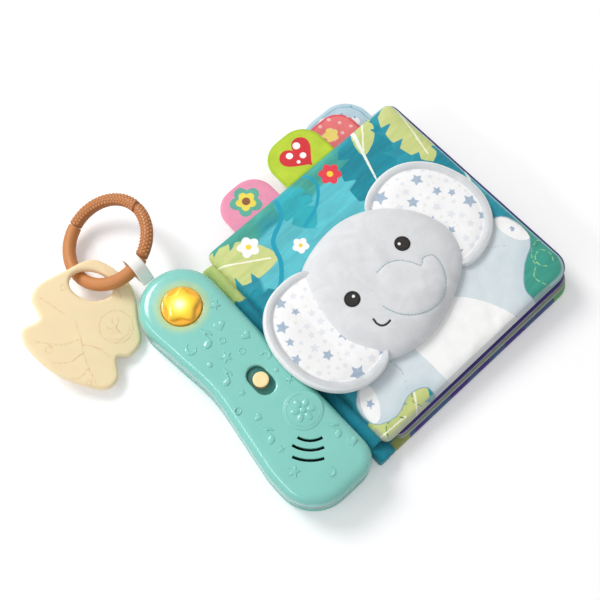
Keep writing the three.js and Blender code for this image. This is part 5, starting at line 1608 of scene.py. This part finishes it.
trunk_thread = thread("trunk_thread", colour(150, 182, 184))
trunk_pattern = stitch_pattern("trunk_stitch", 2.3, 0.26, trunk_thread)
trunk_stitches = stitched("trunk_stitches", trunk_line, 2.3, 0, 0.1, trunk_pattern, trunk_thread, on_head,
                          cover_frame)
smile_thread = thread("smile_thread", colour(22, 20, 22))
smile_pattern = stitch_pattern("smile_stitch", 1.5, 0.24, smile_thread)
smile_stitches = stitched("smile_stitches", smile_line, 0.3, 75, 0.12, smile_pattern, smile_thread, on_head,
                          cover_frame)
for stitches in (trunk_stitches, smile_stitches):
    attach(stitches, "front_cover")
for pattern in (trunk_pattern, smile_pattern):
    bpy.data.objects.remove(pattern)


# Ears: each is one soft flap, a star-printed cotton pad in a roll of grey velour. It runs in under
# the head's edge, where it is sewn down, and folds on a straight line beside it.
velour, tree, shader, shade = plush("ear_velour", colour(220, 223, 226), pile=0.7, sheen=0.8)
feed(shader, Base_Color=printed(tree, shade, ("rim", 0, colour(240, 242, 244), 0.5)))
ear_white = colour(250, 250, 251)
star_print, tree, shader = woven("ear_star_print", ear_white, roughness=0.7, crease=0.4)
star_wash = noise(tree, kept_on_cloth(tree, "flat"), 0.5, 4.0)
star_ink = mixed(tree, star_wash, colour(152, 174, 198), colour(188, 204, 220))
ink = printed(tree, ear_white, ("stars", 1, colour(232, 235, 240), 0.25),
              ("stars", 2, colour(238, 238, 230), 0.25), ("stars", 0, star_ink, 0.15))
dye(tree, shader, ink, change=0.02)
ear_low = -6.0
ears = {
    "left": {"place": (20.0, 73.5, 5.0), "turn": 180, "inside": 6.5, "tilt": 12.0, "seed": 71},
    "right": {"place": (126.6, 86.7, 0.8), "turn": 15, "inside": 3.7, "tilt": 1.5, "seed": 77},
}


def scattered(outline, count, low, high, spare, taken, seed):
    """Random places and sizes inside an outline that keep clear of each other, with a fixed seed."""
    chance = np.random.default_rng(seed)
    low_corner, high_corner = outline.min(0), outline.max(0)
    found = []
    for _ in range(count * 60):
        place = chance.uniform(low_corner, high_corner)
        radius = chance.uniform(low, high)
        clear = all(math.hypot(place[0] - x, place[1] - y) > radius + r + spare for x, y, r in taken + found)
        if clear and within(place[None], outline)[0]:
            found.append((place[0], place[1], radius))
        if len(found) == count:
            break
    return found


def squared(wave, power):
    """A circle's sine or cosine, drawn out towards a square's."""
    return np.sign(wave) * np.abs(wave) ** power


for side, ear in ears.items():
    turns = np.radians(np.linspace(0, 360, 181)[:-1])
    full = np.stack([squared(np.cos(turns), 0.93) * 37.5 - ear["inside"],
                     squared(np.sin(turns), 0.93) * 42], 1)
    kept = full[full[:, 0] > -24]
    start = int(np.argmax(np.linalg.norm(np.diff(kept, axis=0), axis=1)))
    outline = even_loop(np.roll(kept, -(start + 1), 0), 1.0)
    for _ in range(70):
        outline += np.clip((-8 - outline[:, :1]) / 8, 0, 1) * (eased(outline) - outline)
    outline = even_loop(outline, 2.6)

    def ear_top(points, depth):
        edge = distance_to(points, full)
        roll = 1.1 + 3.8 * np.sqrt(np.clip(1 - ((edge - 3.3) / 3.8) ** 2, 0, 1))
        pad = 3.0 + 1.7 * rounded_rise(np.maximum(edge - 6.4, 0), 12)
        return ear_low + np.where(edge < 6.4, roll, pad)

    flap, _ = padded_cloth(
        f"{side}_ear_flap", outline, 3.0, ear_top, lambda p, d: ear_low + 0.5 * (1 - rounded_rise(d, 1.5)),
        ear_low + 1.1, velour, insets=(0.5, 1.4, 3.0, 4.7, 5.9, 6.7))
    flap.data.materials.append(star_print)
    flat = refined(flap, 2)
    edge = distance_to(flat, full)
    local = points_of(flap) * 1000
    print_plate(flap, "rim", edge - 1.8)
    pad_face = np.zeros(len(flap.data.polygons), np.int32)
    corners = np.array([tuple(face.vertices) for face in flap.data.polygons])
    pad_face[(edge[corners].mean(1) > 6.3) & (local[corners][:, :, 2].mean(1) > ear_low + 1.6)] = 1
    flap.data.polygons.foreach_set("material_index", pad_face)
    inner = inset(full, 6.0)
    bold = scattered(inner, 13, 2.9, 6.0, 2.6, [], ear["seed"])
    pale = scattered(inner, 40, 1.6, 3.8, 0.6, bold, ear["seed"] + 1)
    cream = scattered(inner, 30, 0.9, 2.0, 0.7, bold + pale, ear["seed"] + 2)

    def star_field(places, seed):
        chance = np.random.default_rng(seed)
        nearest = np.full(len(flat), 1e3)
        for x, y, radius in places:
            shape = star_outline(radius, 0.48, chance.uniform(0, 72), 5, soft=2) + (x, y)
            close = np.linalg.norm(flat - (x, y), axis=1) < radius + 3
            nearest[close] = np.minimum(nearest[close], signed_distance(flat[close], shape))
        return nearest

    print_plate(flap, "stars", star_field(bold, ear["seed"] + 3), star_field(pale, ear["seed"] + 4),
                star_field(cream, ear["seed"] + 5))
    local[:, 2] += np.where(local[:, 2] > ear_low + 1.6, ripple(flat, 24, ear["seed"], 0.14), 0)
    bend = np.clip((local[:, 0] + 1.5) / 3, 0, 1)
    lean = np.radians(ear["tilt"]) * bend
    moved = np.stack([local[:, 0] * np.cos(lean) - local[:, 2] * np.sin(lean), local[:, 1],
                      local[:, 0] * np.sin(lean) + local[:, 2] * np.cos(lean)], 1)
    set_points(flap, moved * 0.001)
    ear_frame = (cover_frame @ Matrix.Translation(ear["place"])
                 @ Matrix.Rotation(math.radians(ear["turn"]), 4, "Z"))
    laid(flap, ear_frame)
    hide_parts(f"{side}_ear_border", f"{side}_ear_pad", f"{side}_ear_root")
    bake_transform(flap)


# Ribbon: a white woven loop that comes out of the case's star end, goes round the ring and back,
# and is held inside the case by its anchor.
def sloped_frame(x, y, z, normal):
    turn = Vector((0, 0, 1)).rotation_difference(Vector(normal).normalized()).to_matrix().to_4x4()
    return book_frame @ Matrix.Translation((x, y, z)) @ turn


ring_frame = sloped_frame(-33.5, 215, 18, (-0.33, 0.19, 1))
ring_radius, ring_section = 28.8, 4.2
held_at = book_frame.inverted() @ ring_frame @ Vector((2.0, -28.73, 0))
ribbon_white = colour(255, 253, 248)
ribbon_finish, tree, shader = new_finish("ribbon_white", ribbon_white, 0.55, Sheen_Weight=0.3,
                                         Specular_IOR_Level=0.4)
along, across, _ = parts(tree, kept_on_cloth(tree, "flat"))
ribs = maths(tree, "ADD", threads(tree, along, 0.75), threads(tree, across, 0.5))
feed(shader, Normal=relief(tree, ribs, 0.35, 0.00012))
dye(tree, shader, ribbon_white, change=0.02, scale=0.15)
anchor = bpy.data.objects["ribbon_anchor"]
anchor.data.materials.clear()
anchor.data.materials.append(ribbon_finish)

exit_y, exit_z = 175.8, 19.0
heading = math.atan2(held_at.z - exit_z, held_at.y - exit_y)
reach = math.hypot(held_at.z - exit_z, held_at.y - exit_y)
bend_radius, hold_radius = 0.62, 7.55
lean = math.degrees(math.acos((bend_radius - hold_radius) / reach))
teardrop = np.vstack([arc(0, 0, bend_radius, lean, 360 - lean, 12),
                      arc(reach, 0, hold_radius, -lean, lean, 60)])
path = turned(even_loop(teardrop, 0.8), math.degrees(heading)) + (exit_y, exit_z)
outward_way = path - inset(path, 1.0)
length = run_along(path)
upper_side = [(-4.15, 0.22), (-3.95, 0.45), (-3.3, 0.48), (0.0, 0.46), (3.3, 0.48), (3.95, 0.45),
              (4.15, 0.22)]
section = [(-4.15, -0.22)] + upper_side + [(-x, -lift) for x, lift in upper_side[:-1]]
ribbon_skin, rows, flat = Skin(), [], []
for i, (y, z) in enumerate(path):
    drift = 0.35 * math.sin(length[i] / 6.0)
    rows.append(ribbon_skin.add([(-31.5 + x + drift * 0.3, y + lift * outward_way[i, 0],
                                  z + lift * outward_way[i, 1]) for x, lift in section]))
    flat += [(length[i], x) for x, lift in section]
ribbon_skin.stack(rows + rows[:1])
ribbon = ribbon_skin.mesh("ribbon_strap", book_frame, [ribbon_finish], sharp=60)
keep_flat(ribbon, np.array(flat))
outward(ribbon)
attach(ribbon, "ribbon")
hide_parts("ribbon_loop")


# Linking ring: hard brown plastic in two halves. One is smooth, and the other has a grip of small
# studs on its upper side and a slanting notch where it snaps open.
ring_brown = moulded("ring_brown", colour(196, 128, 72), 0.42, grain=0.05, Specular_IOR_Level=0.4)
ring_grip_brown = moulded("ring_grip_brown", colour(172, 106, 56), 0.45, grain=0.05)
stud_brown = moulded("stud_brown", colour(208, 142, 86), 0.3, grain=0.03)


def ring_half(name, start, stop, section, finish, notch):
    count = int((stop - start) / 1.5)
    turns = np.radians(np.linspace(start, stop, count + 1))
    fine = np.radians(np.linspace(-7, 7, 57))
    if notch:
        turns = np.unique(np.round(np.concatenate([turns[np.abs(turns) > 0.123], fine]), 6))
    across = np.radians(np.arange(0, 360, 10))
    skin, loops = Skin(), []
    for turn in turns:
        out = squared(np.cos(across), 0.9)
        up = squared(np.sin(across), 0.9)
        size = np.full(len(across), section)
        end = min(turn - turns[0], turns[-1] - turn) * ring_radius
        size -= 0.5 * (1 - float(rounded_rise(np.array(end), 0.6)))
        if notch:
            gap = np.abs(turn * ring_radius - 0.3 * out * section - 0.4)
            size -= 1.15 * np.clip((1.15 - gap) / 0.45, 0, 1)
        loops.append(skin.add(np.column_stack([(ring_radius + out * size) * np.cos(turn),
                                               (ring_radius + out * size) * np.sin(turn), up * size])))
    skin.stack(loops, closed=True)
    piece = skin.mesh(name, ring_frame, [finish], sharp=38)
    outward(piece)
    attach(piece, "ring")
    return piece


grip_section = 3.85
ring_grip = ring_half("ring_grip_half", -71.7, 107.7, grip_section, ring_grip_brown, True)
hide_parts("ring_textured_half")
ring_plain = ring_half("ring_plain_half", 108.3, 287.7, ring_section, ring_brown, False)
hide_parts("ring_smooth_half")

stud_skin = Skin()
loops = [stud_skin.level(circle(0, 0, r, 8), z) for r, z in [(0.88, -0.25), (0.85, 0.08), (0.48, 0.5)]]
stud_skin.stack(loops, closed=True)
stud_pattern = stud_skin.mesh("stud_pattern", Matrix.Scale(0.001, 4), [stud_brown], sharp=20)
outward(stud_pattern)
ring_turn = ring_frame.to_3x3().normalized()
stud_places, stud_turns = [], []
for row, across in enumerate(math.radians(a) for a in (24, 51, 78, 105, 132)):
    for step in range(38):
        turn = math.radians(-66.5 + 4.7 * step + 2.35 * (row % 2))
        slant = 0.3 * math.cos(across) * grip_section + 0.4
        if abs(turn * ring_radius - slant) < 1.9 or turn > math.radians(106):
            continue
        outside = Vector((math.cos(across) * math.cos(turn), math.cos(across) * math.sin(turn),
                          math.sin(across)))
        forward = Vector((-math.sin(turn), math.cos(turn), 0))
        bulge = (abs(math.cos(across)) ** 1.8 + abs(math.sin(across)) ** 1.8) ** 0.5
        stud_places.append(ring_frame @ (Vector((math.cos(turn), math.sin(turn), 0)) * ring_radius
                                         + outside * grip_section * bulge))
        basis = ring_turn @ Matrix([forward, outside.cross(forward), outside]).transposed()
        stud_turns.append(tuple(basis.to_euler()))
ring_studs = place_copies("ring_grip_studs", stud_places, stud_turns, stud_pattern, 1.0, stud_brown)
bpy.data.objects.remove(stud_pattern)
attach(ring_studs, "ring")


# Teether: one soft cream leaf of silicone with rounded edges and an oval hole. Fine raised lines on
# its upper side give the gums something to feel: leaf veins and a small ring with a sprig.
teether_frame = sloped_frame(-59.8, 199.6, 13.74, (0.162, -0.216, 1))
teether_outline = even_loop(smooth_path([(72.6 * x, 78.3 * y) for x, y in [
    (-0.11, 0.225), (0.17, 0.16), (0.275, -0.19), (0.12, -0.47), (0.02, -0.615), (-0.13, -0.65),
    (-0.225, -0.6), (-0.33, -0.735), (-0.45, -0.755), (-0.57, -0.65), (-0.72, -0.39), (-0.755, -0.06),
    (-0.7, 0.025), (-0.535, 0.02), (-0.475, 0.185), (-0.38, 0.245)]][::-1], 600), 1.2)
teether_hole = circle(0, 0, 1, 64) * (13.75, 9.75) @ np.array([[-0.6, 0.8], [-0.8, -0.6]])
teether_round, teether_half = 2.2, 2.8
teether_skin = Skin()
edge_steps = [(math.radians(t), 1 if t > 0 else -1) for t in (-90, -68, -45, -22, 0, 22, 45, 68, 90)]


def rounded_edge(outline, side):
    loops = []
    for turn, sign in edge_steps:
        move = teether_round * (1 - math.cos(turn))
        z = teether_round * math.sin(turn) + (teether_half - teether_round) * (0 if turn == 0 else sign)
        loops.append(teether_skin.level(inset(outline, side * move), z))
    teether_skin.stack(loops if side > 0 else loops[::-1])
    return loops


outer_loops = rounded_edge(teether_outline, 1)
hole_loops = rounded_edge(teether_hole, -1)
face_outline = inset(teether_outline, teether_round)
face_hole = inset(teether_hole, -teether_round)
face_points, triangles = lattice(face_outline, 1.4, holes=[face_hole])
rest = face_points[len(face_outline) + len(face_hole):]
for z, outer, hole, flip in [(teether_half, outer_loops[-1], hole_loops[-1], False),
                             (-teether_half, outer_loops[0], hole_loops[0], True)]:
    places = np.concatenate([outer, hole, teether_skin.add(np.column_stack([rest, np.full(len(rest), z)]))])
    teether_skin.fill(triangles, places, flip=flip)
cream = colour(254, 231, 188)
silicone, tree, shader = new_finish("teether_silicone", cream, 0.5, Subsurface_Weight=0.12,
                                    Subsurface_Scale=0.003, Specular_IOR_Level=0.35)
# Painted shade: the cream darkens a little along the raised lines.
painted_ridge_shade = ranged(tree, plate_value(tree, "ridge", 0), 0.3, 0.9)
dye(tree, shader, mixed(tree, painted_ridge_shade, colour(248, 221, 175), cream), change=0.02, scale=0.06)
grain = relief(tree, noise(tree, object_place(tree), 0.9, 5.0, Roughness=0.7), 0.06, 0.0003)
ridge = ranged(tree, plate_value(tree, "ridge", 0), 0.55, 0.0, interpolation_type="SMOOTHSTEP")
feed(shader, Normal=relief(tree, ridge, 0.55, 0.0005, grain))
teether = teether_skin.mesh("leaf_teether_moulding", Matrix.Scale(0.001, 4), [silicone], sharp=60)
outward(teether)
local = points_of(teether) * 1000
face = local[:, :2]
ridge_places = [
    ([(-5, -37), (-5.4, -31), (-4.4, -25.4)], 20), ([(-5.2, -32.5), (-8.0, -30.5), (-9.6, -28.0)], 14),
    ([(-5.1, -31.0), (-2.2, -29.6), (-0.4, -27.2)], 14), ([(-5.3, -34.4), (-8.6, -33.4), (-10.8, -33.4)], 14),
    ([(-22, -12), (-27, -24), (-33, -37), (-37, -52)], 50), ([(-27, -24), (-38, -20), (-49, -9)], 40),
    ([(-30.5, -32), (-42, -31), (-50, -25)], 40), ([(-28.5, -27), (-22, -36), (-20, -44)], 30),
    ([(-34, -41), (-42, -43), (-47, -40)], 30), ([(14, 4), (13, -8), (9, -18)], 30),
    ([(-30, 12), (-27, 2), (-25, -6)], 30),
]
ridge_lines = [arc(-5, -31, 10.6, 0, 360, 70), arc(-5, -31, 8.4, 205, 335, 30)]
ridge_lines += [open_path(points, count) for points, count in ridge_places]
nearest = np.min([distance_to(face, line, closed=False) for line in ridge_lines], axis=0)
rings = np.abs(spots(face, [(-46, -18, 2.2), (-15, 9, 1.8), (6, -2, 1.6), (-40, -49, 1.5)]))
nearest = np.minimum(nearest, rings)
print_plate(teether, "ridge", np.where(local[:, 2] > 2.0, nearest, 5.0))
laid(teether, teether_frame)
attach(teether, "teether")
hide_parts("leaf_teether")


# Both boxes: the bare solids' box was taken in the first section, and the dressed product's box
# is taken here.
dressed_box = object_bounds()


def plain(value):
    if isinstance(value, dict):
        return {key: plain(item) for key, item in value.items()}
    if isinstance(value, (int, float)):
        return float(value)
    return [plain(item) for item in value]


{"solids": plain(solid_box), "dressed": plain(dressed_box)}
